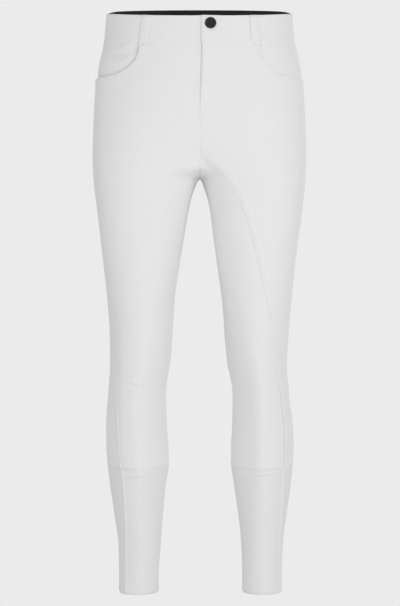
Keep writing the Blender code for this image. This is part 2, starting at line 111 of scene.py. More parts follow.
# level, left outer, left inner, right outer, right inner, front, back, middle
LEGS = smooth_table((
    (-269, 184.6, 0.2, 184.6, 0.2, -106, 117, 6),
    (-275, 184.2, 4.5, 184, 4.5, -105.5, 115, 6),
    (-285, 183.4, 8, 183, 8.6, -104.8, 112, 5),
    (-300, 181.6, 13, 181, 13.8, -103.5, 108.5, 4),
    (-330, 178, 19.4, 177.4, 20, -100.5, 101, 0),
    (-370, 172.2, 24.6, 172.6, 26.8, -96, 92, -2),
    (-420, 165.8, 30.8, 166.6, 35, -90, 82, -4),
    (-480, 159.6, 38.8, 160, 43.2, -82.5, 70.5, -7),
    (-540, 154.6, 43.6, 155.8, 47, -74.5, 58.5, -9),
    (-590, 151.6, 48.1, 155.6, 51.2, -68, 50, -8),
    (-640, 155, 57.4, 158.1, 58.4, -60, 51, -4),
    (-700, 162.8, 56.6, 162.4, 57, -51, 62, 4),
    (-735, 163.9, 54.9, 162.4, 54.4, -47, 64.5, 7),
    (-768, 162.4, 55.2, 159.7, 53.8, -44.5, 62.5, 8),
    (-800, 159, 59.9, 156, 58.4, -42, 56, 8),
    (-850, 151.9, 67, 148.6, 63.6, -38.5, 47, 6),
    (-910, 144.6, 72.8, 140.6, 68, -35, 40, 4),
    (-960, 143.2, 74.3, 140.1, 71, -34, 38, 3),
    (-1000, 143.2, 74.3, 140.1, 71, -34, 38, 3),
))
# level, rise in z for each step in y
SLOPE = smooth_table((
    (30, 0.18), (-10, 0.18), (-60, 0.14), (-130, 0.06), (-200, 0), (-700, 0),
    (-755, 0.10), (-780, 0.10), (-860, 0.02), (-1000, 0.02),
))
# level, squareness of the front half: 2 is an ellipse
FRONT_SQUARENESS = smooth_table((
    (30, 2.2), (-300, 2.2), (-450, 2.05), (-560, 1.7), (-640, 1.45), (-780, 1.45), (-860, 1.6), (-1000, 1.8),
))
# level, distance of the fly's edge from the middle plane
FLY_EDGE = smooth_table(((30, 1.6), (-21.5, 2.2), (-30, 3.4), (-80, 2.4), (-187, 0.15), (-300, 0.15)))
# level, turn in degrees
SIDE_SEAM = smooth_table(((30, 194), (-100, 197), (-300, 200), (-500, 206), (-620, 214), (-1000, 214)))
POCKET_EDGE = smooth_table(((-21.5, 125.4), (-36, 124.3), (-50, 124), (-57, 124.35), (-62, 125)))
# level, distance from the middle plane
LEG_SEAM_THIGH = (
    (-231, 0.15), (-246, 20), (-268, 43), (-310, 68), (-361, 85.5), (-445, 106), (-513, 120),
)
LEG_SEAM_LEFT = (
    (-591, 132), (-651, 140.5), (-720, 146.5), (-773, 146.4), (-824, 144), (-892, 140), (-1000, 139.5),
)
LEG_SEAM_RIGHT = (
    (-591, 134.5), (-651, 137), (-720, 135.2), (-773, 130.5), (-824, 126.8), (-892, 125), (-1000, 125),
)
LEG_SEAM = {
    LEFT: smooth_table(LEG_SEAM_THIGH + LEG_SEAM_LEFT),
    RIGHT: smooth_table(LEG_SEAM_THIGH + LEG_SEAM_RIGHT),
}
# turn in degrees, level
POCKET_SCOOP = smooth_table((
    (125, -62), (126, -66.3), (128, -72.5), (136.6, -87.2), (150, -93.2), (180, -96.4), (197, -97.5),
))
SCOOP_START, SCOOP_STOP = 125.0, 197.0
SCOOP_END = -97.5

BACK_SQUARENESS = 2.2
LEAST_PINCH = 0.001
FLAT_REACH = 50000.0

# The solids' own folds, across the back of each knee
Fold = namedtuple("Fold", "degrees level half_degrees half_height slant rise")
FOLDS = (
    Fold(270, -576, 44, 15, 0.25, -2.4),
    Fold(275, -599, 50, 16, 0.3, 2),
    Fold(265, -623, 42, 15, -0.25, -2.2),
)

Section = namedtuple("Section", "ridge reach_in reach_out reach_front reach_back middle")


def section(side, level):
    """The outline of one half of the body at these levels: its ridge line and its reach each way."""
    outer, ridge, pinch, front, back, middle = read(TORSO, level)
    reach_in = np.where(pinch > LEAST_PINCH, ridge / np.maximum(pinch, LEAST_PINCH), FLAT_REACH)
    torso = ridge, reach_in, outer - ridge, middle - front, back - middle, middle
    left_outer, left_inner, right_outer, right_inner, front, back, middle = read(LEGS, level)
    outer = np.where(side > 0, left_outer, right_outer)
    inner = np.where(side > 0, left_inner, right_inner)
    ridge = (outer + inner) / 2
    leg = ridge, ridge - inner, outer - ridge, middle - front, back - middle, middle
    above = np.asarray(level) > CROTCH
    return Section(*(np.where(above, *both) for both in zip(torso, leg)))


def squareness(level, behind):
    """How square the form is at these levels, in front or behind."""
    return np.where(behind, BACK_SQUARENESS, read(FRONT_SQUARENESS, level)[0])


def bent(value, power):
    """The values raised to a power, with their signs kept."""
    return np.sign(value) * np.abs(value) ** power


def form_point(side, turn, level):
    """Points of the smooth form, without folds."""
    side, turn, level = np.broadcast_arrays(side, turn, level)
    cut = section(side, level)
    power = 2 / squareness(level, np.sin(turn) < 0)
    across, forward = bent(-np.cos(turn), power), bent(np.sin(turn), power)
    x = cut.ridge + across * np.where(across > 0, cut.reach_out, cut.reach_in)
    y = cut.middle - forward * np.where(forward > 0, cut.reach_front, cut.reach_back)
    return np.stack([side * x, y, level + read(SLOPE, level)[0] * y], -1)


def form_normal(side, turn, level):
    """The way out of the form at these places."""
    step_turn, step_level = 0.004, 0.5
    around = form_point(side, turn + step_turn, level) - form_point(side, turn - step_turn, level)
    upward = form_point(side, turn, level + step_level) - form_point(side, turn, level - step_level)
    normal = np.cross(around, upward) * np.asarray(side)[..., None]
    return normal / np.linalg.norm(normal, axis=-1, keepdims=True)


def fold_rise(turn, level):
    """How far the folds behind the knees lift the cloth."""
    rise = np.zeros(np.broadcast(turn, level).shape)
    for fold in FOLDS:
        along = (np.degrees(turn) % 360 - fold.degrees) / fold.half_degrees
        across = (level - fold.level) / fold.half_height - fold.slant * along
        rise += fold.rise * np.exp(-2 * along * along - 2 * across * across)
    return rise


def turn_at(side, level, x, behind=False):
    """The turn of the point that stands this far from the middle plane, in front or behind."""
    cut = section(side, level)
    beyond = x - cut.ridge
    across = np.clip(beyond / np.where(beyond > 0, cut.reach_out, cut.reach_in), -1, 1)
    turn = np.arccos(-bent(across, squareness(level, behind) / 2))
    return FULL_TURN - turn if behind else turn


def turn_per_mm(side, turn, level):
    """How far to turn for each millimetre along the form."""
    step = 0.002
    moved = form_point(side, turn + step, level) - form_point(side, turn - step, level)
    return 2 * step / np.linalg.norm(moved, axis=-1)


def side_seam(level):
    """The turn of the side seam at these levels."""
    return np.radians(read(SIDE_SEAM, level)[0])


def pocket_edge(level):
    """The turn of the straight part of the pocket mouth at these levels."""
    return np.radians(read(POCKET_EDGE, level)[0])


def leg_seam(side, level):
    """The turn of the forward-set leg seam at these levels."""
    return turn_at(side, level, read(LEG_SEAM[side], level)[0])


def ease(value, start, stop):
    """0 before start and 1 after stop, with a soft step between."""
    t = np.clip((np.asarray(value, float) - start) / (stop - start), 0, 1)
    return t * t * (3 - 2 * t)


def bump(value, centre, half_width):
    """1 at the centre, falling softly to both sides."""
    return np.exp(-(((value - centre) / half_width) ** 2))


def fly_edge(level):
    """How far the fly's edge stands to the wearer's left of the middle plane."""
    return read(FLY_EDGE, level)[0]


def scoop_level(degrees):
    """The level of the pocket mouth's scoop at this turn in degrees."""
    return read(POCKET_SCOOP, np.clip(degrees, SCOOP_START, SCOOP_STOP))[0]


def seam_stretch(side, level):
    """How much longer the leg seam is than its fall, because it leans."""
    seam = LEG_SEAM[side]
    return np.hypot(1, (read(seam, level + 1)[0] - read(seam, level - 1)[0]) / 2)


# ---- grids of places

PITCH = 3.6
EDGE_STEPS = (0, 0.4, 0.9, 1.6, 2.5, 3.6, 4.8, 6.2, 8.2, 11)
EDGE_ROOM = EDGE_STEPS[-1]
LEAST_ROOM = 2.6
ARC_SAMPLES = 241
# Between these distances from the middle plane a small turn can move far
STEEP_REACH = (-12.0, 120.0)

# Rows and columns of places, with each place's distance along the form to the first and last edge of its row
Grid = namedtuple("Grid", "side turn level start stop")


def steps(first, last, pitch=PITCH):
    """Evenly spaced values from the first up to but without the last."""
    return np.linspace(first, last, max(2, round(abs(last - first) / pitch)) + 1)[:-1]


def from_edge(edge, towards):
    """Values close together beside an edge, on the side towards another value."""
    return edge + math.copysign(1.0, towards - edge) * np.array(EDGE_STEPS)


def rows_from(edge, last):
    """Levels from an edge down to but without the last, close together beside the edge."""
    return np.concatenate([from_edge(edge, last)[:-1], steps(edge - EDGE_ROOM, last)])


def rows_between(top, bottom):
    """Levels from top to bottom, close together beside both."""
    below = from_edge(bottom, top)[::-1]
    return np.concatenate([rows_from(top, below[0]), below])


def column_distances(length, fine_start):
    """Where the columns lie along rows of these lengths: close together beside the ends that are fine."""
    near = np.array(EDGE_STEPS) * np.minimum(1.0, length / (LEAST_ROOM * EDGE_ROOM))[:, None]
    length = length[:, None]
    first = near if fine_start else near[:, :1]
    last = length - near[:, ::-1]
    count = max(3, round(float((last[:, :1] - first[:, -1:]).max()) / PITCH))
    share = np.linspace(0, 1, count + 1)[1:-1]
    return np.hstack([first, first[:, -1:] + (last[:, :1] - first[:, -1:]) * share, last])


def measured_rows(side, level, start, stop):
    """Turns from start to stop in each row, and how far along each is. Steep places get more of them."""
    rows = [start[:, None] + (stop - start)[:, None] * np.linspace(0, 1, ARC_SAMPLES)]
    for behind in (False, True):
        turn = turn_at(side, level[:, None], np.linspace(*STEEP_REACH, ARC_SAMPLES)[None, :], behind)
        rows.append(np.clip(turn, start[:, None], stop[:, None]))
    samples = np.sort(np.hstack(rows), axis=1)
    along = np.linalg.norm(np.diff(form_point(side, samples, level[:, None]), axis=1), axis=-1)
    return samples, np.hstack([np.zeros((len(level), 1)), np.cumsum(along, axis=1)])


def arc_grid(side, level, start, stop, fine_start=True):
    """A grid whose rows run along the form at these levels, from their start turn to their stop turn."""
    samples, lengths = measured_rows(side, level, start, stop)
    wanted = column_distances(lengths[:, -1], fine_start)
    turn = np.stack([np.interp(*row) for row in zip(wanted, lengths, samples)])
    levels = np.repeat(level[:, None], turn.shape[1], axis=1)
    return Grid(np.full(turn.shape, side), turn, levels, wanted, lengths[:, -1:] - wanted)


def beside(first, second):
    """Two grids of the same rows, side by side, where the second starts at the first one's last column."""
    joined = [np.hstack([a, b[:, 1:]]) for a, b in zip(first[:3], second[:3])]
    start = np.hstack([first.start, first.start[:, -1:] + second.start[:, 1:]])
    stop = np.hstack([first.stop + second.stop[:, :1], second.stop[:, 1:]])
    return Grid(*joined, start, stop)


def across_front(level, reaches):
    """A grid on the centre front: each column stands this far to the wearer's left of the middle plane."""
    level, reach = np.meshgrid(level, reaches, indexing="ij")
    start = np.abs(reach - reach[:, :1])
    turn = turn_at(side_of_reach(reach), level, np.abs(reach))
    return Grid(side_of_reach(reach), turn, level, start, start[:, -1:] - start)


def side_of_reach(reach):
    """The side of a place this far to the wearer's left of the middle plane."""
    return np.where(reach > 0, LEFT, RIGHT)


def side_of(grid):
    """The side that all of a grid lies on."""
    return LEFT if np.min(grid.side) > 0 else RIGHT


# ---- relief: seams, laps and creases

LEG_LAP_RISE = {LEFT: 1.0, RIGHT: 0.2}
LEG_LAP_SHARE = {LEFT: 1.0, RIGHT: 0.5}
WELT_RISE = 0.9
CUFF_WELT_RISE = 1.5
CUFF_LAP_RISE = 0.6
CUFF_LAP_REACH = 12.0
FLY_RISE = 3.9
FLY_LAP_REACH = 46.0
UNDER_FLY_RISE = 2.3
MOUTH_RISE = {LEFT: 0.5, RIGHT: 1.1}
MOUTH_SEARCH_TURN = math.radians(100)
# How deep a line of stitches sinks, and how far from their edges the lines lie
STITCH_DENT = 0.15
LAP_STITCH = 4.0
MOUTH_STITCHES = (2.6, 6.5)
FLY_STITCH = 5.0
HEM_STITCH = 10.5
# How far the back goes on under the front at the leg seam
UNDERLAP = 4.5
KNEE_TOP, KNEE_END = -604.0, -656.0
# A distance at which no seam or edge shows
FAR = 400.0
# How far the cloth comes forward where it spans the hollow of the crotch, and how far from its middle
CROTCH_FULL = 25.0
CROTCH_FULLER_RIGHT = 11.0
CROTCH_ABOVE, CROTCH_BELOW, CROTCH_ASIDE = 22.0, 42.0, 18.0
CROTCH_ROUNDING = 9.0

# Creases as seen from one side: f front, b back, l the wearer's left, r the wearer's right. Each row has the
# place across and its height in that view, the lean in degrees, half length, half width, rise and bend.
Crease = namedtuple("Crease", "view across z lean length width rise bend")
CREASE_ROWS = {
    "f": (
        (-138, -14, -8, 16, 2.6, -1.9, 0), (-128, -22, 12, 20, 3, 1.8, 0.1),
        (-138, -40, -14, 15, 2.4, -1.9, 0), (-122, -46, 20, 16, 2.8, 1.7, 0.1),
        (-134, -62, 6, 18, 2.6, -1.9, 0.1), (-118, -68, 25, 12, 3, 1.5, 0),
        (-111, -626, -28, 12, 2.4, -1, 0.2), (-116, -620, -20, 14, 3.2, 0.9, 0.2),
        (-120, -645, -60, 7, 2.2, -0.8, 0), (-112, -786.5, 2, 15, 1.6, -1.2, 0),
        (-113, -782, 2, 15, 2, 0.9, 0), (110, -783, 0, 13, 1.6, -1.2, 0),
        (110, -779, 0, 14, 2, 0.8, 0), (-143, -251, 4, 26, 1.5, -0.7, 0),
        (154, -251, -4, 22, 1.5, -0.7, 0), (-8.5, -246, 70, 14, 2.2, -0.9, 0.1),
        (14, -252, -40, 20, 4, -1.4, 0),
    ),
    "b": (
        (62, -292, 18, 34, 4.5, -1.6, 0.05), (-70, -298, -14, 30, 4, -1.5, -0.05),
        (88, -318, 10, 24, 4, 1.2, 0), (-96, -312, -22, 22, 3.6, -1.1, 0.08),
        (92, -590, 8, 26, 3.4, -1.4, 0.05), (108, -612, -16, 20, 3, 1.1, 0),
        (84, -633, -4, 17, 3, -1, 0.1), (-98, -596, -10, 28, 3.6, -1.5, 0.05),
        (-112, -625, 14, 18, 3, -1.1, 0), (-86, -640, -6, 16, 3, 0.9, 0),
        (19, -54, 62, 22, 4, -0.9, 0.1), (-25, -62, -58, 18, 4.2, 0.8, 0),
        (104, -930, -8, 16, 3, -0.9, 0), (-110, -948, 12, 14, 3, 0.8, 0),
    ),
    "l": (
        (-12, -36, 14, 20, 3.2, -1.1, 0), (8, -58, -18, 16, 3, 1, 0.1),
        (-20, -606, 20, 18, 3.4, -1.2, 0), (-6, -630, -12, 14, 3, 1, 0),
    ),
    "r": (
        (2, -609, -16, 20, 3.4, -1.3, 0), (15, -633, 18, 15, 3.2, 1, 0),
        (24, -38, 12, 18, 3.2, -1.2, 0.05), (10, -66, -10, 14, 3, 1, 0),
    ),
}
CREASES = [Crease(view, *row) for view, rows in CREASE_ROWS.items() for row in rows]

# A soft edge down the front of the cloth: how far it reaches, and points of x, z and rise
Ridge = namedtuple("Ridge", "reach line")
RIDGES = (
    Ridge(18, (
        (-141, -450, 0), (-138, -490, 2.6), (-133, -540, 5), (-130.5, -590, 6.8),
        (-133, -640, 7.6), (-132.5, -705, 7.6), (-130.5, -773, 6.6), (-126.6, -830, 5.6),
        (-125, -900, 4.6), (-125, -990, 4.2),
    )),
    Ridge(16, (
        (72, -470, 0), (86, -545, 1.6), (96, -590, 2.4), (97, -650, 2.4), (100.5, -720, 2.6),
        (100.5, -771, 1.6), (97, -857, 1.2), (88, -930, 0.8), (86, -990, 0.6),
    )),
    Ridge(40, (
        (-140, -23, 0), (-148, -40, 1.5), (-155, -65, 4.5), (-162, -110, 8),
        (-164, -160, 9), (-164, -220, 9), (-160, -300, 8.5), (-154, -380, 7),
        (-147, -450, 4.5), (-140, -500, 0),
    )),
    Ridge(30, (
        (150, -23, 0), (158, -65, 2), (166, -110, 4), (169, -180, 4.5), (168, -250, 4.5),
        (162, -350, 4), (156, -430, 2), (152, -500, 0),
    )),
    Ridge(24, (
        (7, -252, 0), (11, -270, 1.6), (15, -288, 7), (21.5, -310, 10), (30, -361, 11),
        (37, -412, 10), (43, -463, 7), (49, -510, 3), (54, -560, 0),
    )),
    Ridge(22, (
        (-7, -252, 0), (-10.5, -270, 1.6), (-14, -288, 7), (-20, -310, 9.5),
        (-28, -361, 8.5), (-34.5, -412, 6), (-40, -463, 2.5), (-45, -500, 0),
    )),
    Ridge(13, (
        (2, -232, 0), (20, -246, 1.8), (43, -268, 2.6), (57, -290, 2.2), (68, -310, 1.2), (77, -335, 0),
    )),
    Ridge(16, ((-50, -515, 0), (-59, -531, 1), (-81, -565, 1.3), (-92, -600, 0.8), (-94, -640, 0))),
)
RIDGE_ROUNDING = 14.0

# The way across and the way out of each view
VIEWS = {
    "f": np.array(((1.0, 0, 0), (0, -1, 0))),
    "b": np.array(((1.0, 0, 0), (0, 1, 0))),
    "l": np.array(((0, 1.0, 0), (1, 0, 0))),
    "r": np.array(((0, 1.0, 0), (-1, 0, 0))),
}
# wavelengths across, round and down, then phase and height of the slow unevenness of hung cloth
UNEVEN = (
    (83, 120, 171, 0.4, 0.12),
    (-57, 91, 138, 2.1, 0.05),
    (131, -67, 93, 4.4, 0.05),
    (59, 61, -260, 5.2, 0.03),
)


def uneven(point):
    """The slow unevenness at these points."""
    total = np.zeros(point.shape[:-1])
    for x_wave, y_wave, z_wave, phase, height in UNEVEN:
        wave = point[..., 0] / x_wave + point[..., 1] / y_wave + point[..., 2] / z_wave
        total += height * np.sin(FULL_TURN * wave + phase)
    return total


def creased(point, normal):
    """How far the creases lift the cloth at these points."""
    total = np.zeros(point.shape[:-1])
    for crease in CREASES:
        across_axis, out_axis = VIEWS[crease.view]
        lean = math.radians(crease.lean)
        aside = point @ across_axis - crease.across
        up = point[..., 2] - crease.z
        along = aside * math.cos(lean) + up * math.sin(lean)
        across = up * math.cos(lean) - aside * math.sin(lean) - crease.bend * along * along / crease.length
        facing = ease(normal @ out_axis, 0.02, 0.35)
        fall = np.exp(-((along / crease.length) ** 2) - (across / crease.width) ** 2)
        total += crease.rise * facing * fall
    return total


def ridged(point, normal):
    """How far the soft edges lift the cloth at these points."""
    total = np.zeros(point.shape[:-1])
    for ridge in RIDGES:
        line = np.array(ridge.line)
        distance, place = nearest_on(point[..., ::2], line[:, :2])
        rise = np.interp(place, np.arange(len(line)), line[:, 2])
        facing = ease(-normal[..., 1], 0.05, 0.45)
        total += rise * facing * np.exp(-np.sqrt(distance**2 + RIDGE_ROUNDING) / ridge.reach)
    return total


def nearest_on(point, curve):
    """The distance from each point to a curve of close points, and how many points along it that is."""
    flat = point.reshape(-1, point.shape[-1])
    nearest, place = np.full(len(flat), np.inf), np.zeros(len(flat))
    for number, (origin, step) in enumerate(zip(curve[:-1], np.diff(curve, axis=0))):
        away = flat - origin
        share = np.clip(away @ step / (step @ step), 0, 1)
        distance = np.linalg.norm(away - share[:, None] * step, axis=1)
        closer = distance < nearest
        nearest = np.where(closer, distance, nearest)
        place = np.where(closer, number + share, place)
    return nearest.reshape(point.shape[:-1]), place.reshape(point.shape[:-1])


def mitred(point, normal):
    """The normals, kept in the middle plane for cloth that meets its mirror image there."""
    aside = np.minimum(1.0, np.abs(point[..., :1]) / 3.0)
    flat = normal * np.where([True, False, False], aside, 1.0)
    return flat / np.linalg.norm(flat, axis=-1, keepdims=True)


def crotch_fullness(point, normal):
    """How far the cloth stands forward at the front of the crotch, where it spans the hollow of the form."""
    x, above = point[..., 0], point[..., 2] - CROTCH
    height = bump(above, 0.0, np.where(above > 0, CROTCH_ABOVE, CROTCH_BELOW))
    across = np.exp(-np.sqrt(x**2 + CROTCH_ROUNDING) / CROTCH_ASIDE)
    full = CROTCH_FULL - CROTCH_FULLER_RIGHT * np.tanh(x / (CROTCH_ASIDE / 2))
    return full * height * across * ease(-normal[..., 1], -0.2, 0.5)


def dressed(grid, relief):
    """The points of the outer face of a piece, and the way out there."""
    point = form_point(grid.side, grid.turn, grid.level)
    normal = form_normal(grid.side, grid.turn, grid.level)
    lift = fold_rise(grid.turn, grid.level) + relief(grid, point, normal)
    way = mitred(point, normal)
    filled = point + way * lift[..., None]
    filled[..., 1] -= crotch_fullness(point, normal)
    return filled, way


def soft_relief(point, normal):
    """The relief that all the large pieces share."""
    return uneven(point) + creased(point, normal) + ridged(point, normal)


def valley(distance):
    """The dip of a plain seam, with the cloth a little full beside it."""
    return 0.1 * bump(distance, 4.0, 2.6) - 0.3 * bump(distance, 0.0, 1.2)


def rounded(distance, depth=0.5, half_width=0.6):
    """The outer face turning in at a cut or folded edge."""
    return -depth * bump(distance, 0.0, half_width)


def lapped(distance, rise, reach=15.0):
    """An edge that lies on top of another piece, sewn down a little way in."""
    sewn = -0.25 * bump(distance, LAP_STITCH, 0.8)
    return rise * (1 - ease(distance, 5.0, reach)) + sewn + rounded(distance)


def tucked(distance, sink=0.15):
    """A piece going under an edge. The distance is negative under the edge."""
    return -sink * (1 - ease(distance, 0.0, 5.0)) - 1.6 * (1 - ease(distance, -1.8, -0.7))


def centre_seam(grid, point):
    """The valley where the two halves meet, above the crotch and away from the fly."""
    height = ease(grid.level, CROTCH + 4, CROTCH + 16)
    behind = point[..., 1] > 0
    below_fly = 1 - ease(grid.level, FLY_END - 6, FLY_END + 4)
    return valley(np.abs(point[..., 0])) * height * np.where(behind, 1.0, below_fly)


def over_fly(distance, share):
    """The side that lies on top, from its folded edge: raised, and rolled in at the edge."""
    raised = (0.5 + FLY_RISE * share) * (1 - ease(distance, 4.0, FLY_LAP_REACH))
    return raised + rounded(distance, 0.4 + 1.6 * share, 0.5 + 1.1 * share)


def under_fly(distance, share):
    """The side below, which rises to the folded edge. The distance is negative where it shows."""
    risen = UNDER_FLY_RISE * share
    return risen * np.exp(np.minimum(distance, 0.0) / 6.0) - (0.3 + risen) * ease(distance, -1.2, 1.0)


def under_band(grid):
    """The cloth's top edge going under the waistband."""
    return tucked(WAIST_SEAM - grid.level, 0.1)


def over_cuff(grid):
    """The leg's lower edge lying over the cuff."""
    return lapped(grid.level - CUFF_SEAM, CUFF_LAP_RISE, CUFF_LAP_REACH)


def mouth_places(top, last_degrees, down_count, scoop_count):
    """Turns and levels along the pocket mouth: down from this level, then round the scoop to this turn."""
    down = np.linspace(top, POCKET_CORNER, down_count)
    degrees = np.linspace(SCOOP_START, last_degrees, scoop_count)[1:]
    turn = np.concatenate([pocket_edge(down), np.radians(degrees)])
    return turn, np.concatenate([down, scoop_level(degrees)])


MOUTH_CURVES = {
    side: form_point(side, *mouth_places(WAIST_SEAM, SCOOP_STOP, 80, 241)) for side in SIDE_NAMES
}


def mouth_distance(grid, point):
    """The distance to the pocket mouth, or a large one far from it."""
    near = (grid.level > POCKET_FLOOR - 60) & (grid.turn > MOUTH_SEARCH_TURN)
    distance = np.full(point.shape[:-1], FAR)
    distance[near], _ = nearest_on(point[near], MOUTH_CURVES[side_of(grid)])
    return distance


def front_relief(grid, point, normal):
    """The front: its seams, the lap over the back at the leg seam, the pocket mouth and the fly."""
    side = side_of(grid)
    lift = soft_relief(point, normal) + under_band(grid) + centre_seam(grid, point) + over_cuff(grid)
    lift += valley(grid.stop) * ease(POCKET_FLOOR + 30 - grid.level, -15, 15)
    from_seam = grid.start / seam_stretch(side, grid.level)
    lap = LEG_LAP_SHARE[side] * lapped(from_seam, LEG_LAP_RISE[side])
    lift += lap * ease(FORK_TIP - grid.level, -1.0, 14.0)
    lift += WELT_RISE * bump(from_seam, 2.0, 1.5) * ease(KNEE_TOP - grid.level, 0.0, 60.0)
    mouth = mouth_distance(grid, point)
    lift += MOUTH_RISE[side] * (1 - ease(mouth, 4.0, 18.0)) + rounded(mouth)
    lift -= STITCH_DENT * bump(mouth, MOUTH_STITCHES[1], 1.0)
    share, shut = ease(grid.level, FLY_END + 6, FLY_END + 90), ease(grid.level, FLY_END - 4, FLY_END + 8)
    if side == LEFT:
        return lift + shut * over_fly(grid.start, share)
    return lift + shut * under_fly(point[..., 0] - fly_edge(grid.level), share)


def seat_relief(grid, point, normal):
    """The back from the side seam to the seat seam."""
    lift = soft_relief(point, normal) + under_band(grid) + centre_seam(grid, point)
    return lift + valley(grid.start) + over_cuff(grid)


def fork_relief(grid, point, normal):
    """The back from the inside of the leg to the leg seam, where it goes under the front."""
    stretch = np.where(grid.level < FORK_TIP, seam_stretch(side_of(grid), grid.level), 1.0)
    tuck = tucked(grid.stop / stretch - UNDERLAP)
    return soft_relief(point, normal) + centre_seam(grid, point) + tuck + over_cuff(grid)


def cuff_relief(grid, point, normal):
    """The cuff: its top edge under the leg, its one seam, and its hem turned in and sewn."""
    beside_seam = np.minimum(grid.start, grid.stop)
    lift = soft_relief(point, normal) + tucked(CUFF_SEAM - grid.level)
    lift += CUFF_WELT_RISE * bump(beside_seam, 0.0, 2.0) - STITCH_DENT * bump(beside_seam, 0.0, 0.5)
    from_hem = grid.level - HEM
    lift += 0.35 * (1 - ease(from_hem, HEM_STITCH, HEM_STITCH + 3)) - 0.25 * bump(from_hem, HEM_STITCH, 0.8)
    return lift - 2.2 * bump(from_hem, 0.0, 2.6)


# ---- building pieces

CLOTH = 1.1
FACING_CLOTH = 0.9
# How much smaller than the form stretch cloth is cut
CUT_SHARE = 0.97
MERGE_DISTANCE = 0.02


def add_object(name, data):
    """An object with this data, in the scene."""
    thing = bpy.data.objects.new(name, data)
    bpy.context.scene.collection.objects.link(thing)
    return thing


def cloth_faces(rows, columns, side):
    """Quads of a grid with their outer faces out: rows run down and columns away from the inner leg."""
    number = np.arange(rows * columns).reshape(rows, columns)
    corners = (number[1:, :-1], number[1:, 1:], number[:-1, 1:], number[:-1, :-1])
    return np.stack([corner.ravel() for corner in (corners if side == LEFT else corners[::-1])], axis=1)


def make_mesh(name, points, faces, cloth_uv, closed=False):
    """A smooth mesh in metres from points in millimetres, without the points that no face has."""
    used, faces = np.unique(faces, return_inverse=True)
    faces = faces.reshape(-1, 4)
    mesh = bpy.data.meshes.new(name)
    mesh.from_pydata((points[used] * MM).tolist(), [], faces.tolist())
    layer = mesh.uv_layers.new(name="cloth")
    layer.data.foreach_set("uv", (cloth_uv[used] * MM)[faces.ravel()].ravel())
    mesh.shade_smooth()
    join_points(mesh, closed)
    return mesh


def join_points(mesh, closed):
    """Make points that lie together one, keep open edges crisp, and turn the faces of a closed mesh out."""
    shape = bmesh.new()
    shape.from_mesh(mesh)
    bmesh.ops.remove_doubles(shape, verts=shape.verts, dist=MERGE_DISTANCE * MM)
    for edge in shape.edges:
        edge.smooth = len(edge.link_faces) > 1
    if closed:
        bmesh.ops.recalc_face_normals(shape, faces=shape.faces)
    shape.to_mesh(mesh)
    shape.free()


def add_piece(name, mesh, material, slot, nodes, thickness=None):
    """A piece on the one body, in place of its solids, with a real thickness inwards."""
    piece = add_object(name, mesh)
    mesh.materials.append(material)
    if thickness:
        wall = piece.modifiers.new("wall", "SOLIDIFY")
        wall.thickness = thickness * MM
        wall.offset = -1
        wall.use_rim = True
    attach(piece, "root")
    if nodes:
        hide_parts(*nodes)
    return piece


def longest(point, axis):
    """The length of the longest row (axis 1) or column (axis 0) of these points."""
    return float(np.linalg.norm(np.diff(point, axis=axis), axis=-1).sum(axis=axis).max())


def flat_size(parts):
    """The width, length and area in metres that the parts of a piece are cut to, side by side."""
    width = length = area = 0.0
    for grid, _, *keep in parts:
        point = form_point(grid.side, grid.turn, grid.level) * MM
        down, up = point[1:, 1:] - point[:-1, :-1], point[:-1, 1:] - point[1:, :-1]
        quads = np.linalg.norm(np.cross(down, up), axis=-1) / 2
        area += float(quads[keep[0]].sum() if keep else quads.sum())
        width += longest(point, 1)
        length = max(length, longest(point, 0))
    return width * CUT_SHARE, length * CUT_SHARE, area * CUT_SHARE**2


def cloth_piece(name, node, side, look, *parts, thickness=CLOTH):
    """A sheet of cloth for a solid, from parts: a grid, its relief and, if not all, the quads it keeps."""
    points, faces, uvs, count = [], [], [], 0
    for grid, relief, *keep in parts:
        quads = cloth_faces(*grid.turn.shape, side)
        faces.append((quads[keep[0].ravel()] if keep else quads) + count)
        points.append(dressed(grid, relief)[0].reshape(-1, 3))
        uvs.append(np.stack([grid.start.ravel(), grid.level.ravel()], axis=1))
        count += grid.turn.size
    mesh = make_mesh(name, np.vstack(points), np.vstack(faces), np.vstack(uvs))
    piece = add_piece(name, mesh, *look, [node], thickness)
    width, length, area = flat_size(parts)


# ---- fronts, backs, cuffs and hip pieces

# How far the right front goes on under the left one at the fly
RIGHT_UNDER = 5.0
# Where the rows that follow the pocket's scoop have become level
BLEND_END = -200.0
# Where the rows lie close together, and how close
CROTCH_ROWS_TOP, CROTCH_ROWS_END = -250.0, -275.0
FINE_PITCH = 0.8
KNEE_PITCH = 1.5
# How far a cuff goes up under the leg, and how far down its rows lie close together
CUFF_HIDDEN = 5.0
CUFF_SEWN_DEPTH = 14.0
# The hip piece: its depth, how far it goes on under the mouth, and how far it hangs below the scoop
HIP_DEPTH = 90.0
HIP_HIDDEN = 12.0
HIP_BELOW = 14.0
# How deep a pocket stands open, and how deep its hip piece lies under the front
POCKET_GAPE = {LEFT: 1.0, RIGHT: 3.2}
COVERED_DEPTH = 1.4


def body_levels(first):
    """Levels down to the cuff seam, close together there and at the knee, where small creases lie."""
    knee = steps(KNEE_TOP, KNEE_END, KNEE_PITCH)
    shin = steps(KNEE_END, CUFF_SEAM + EDGE_ROOM)
    return np.concatenate([steps(first, KNEE_TOP), knee, shin, from_edge(CUFF_SEAM, 0.0)[::-1]])


UNDER_BAND_LEVELS = WAIST_SEAM + np.array([3.0, 2.0, 1.4, 1.0, 0.6, 0.3])
BACK_LEVELS = np.concatenate([
    UNDER_BAND_LEVELS, rows_from(WAIST_SEAM, FORK_TIP), steps(FORK_TIP, CROTCH_ROWS_TOP),
    steps(CROTCH_ROWS_TOP, CROTCH, FINE_PITCH), steps(CROTCH, CROTCH_ROWS_END, FINE_PITCH),
    body_levels(CROTCH_ROWS_END),
])


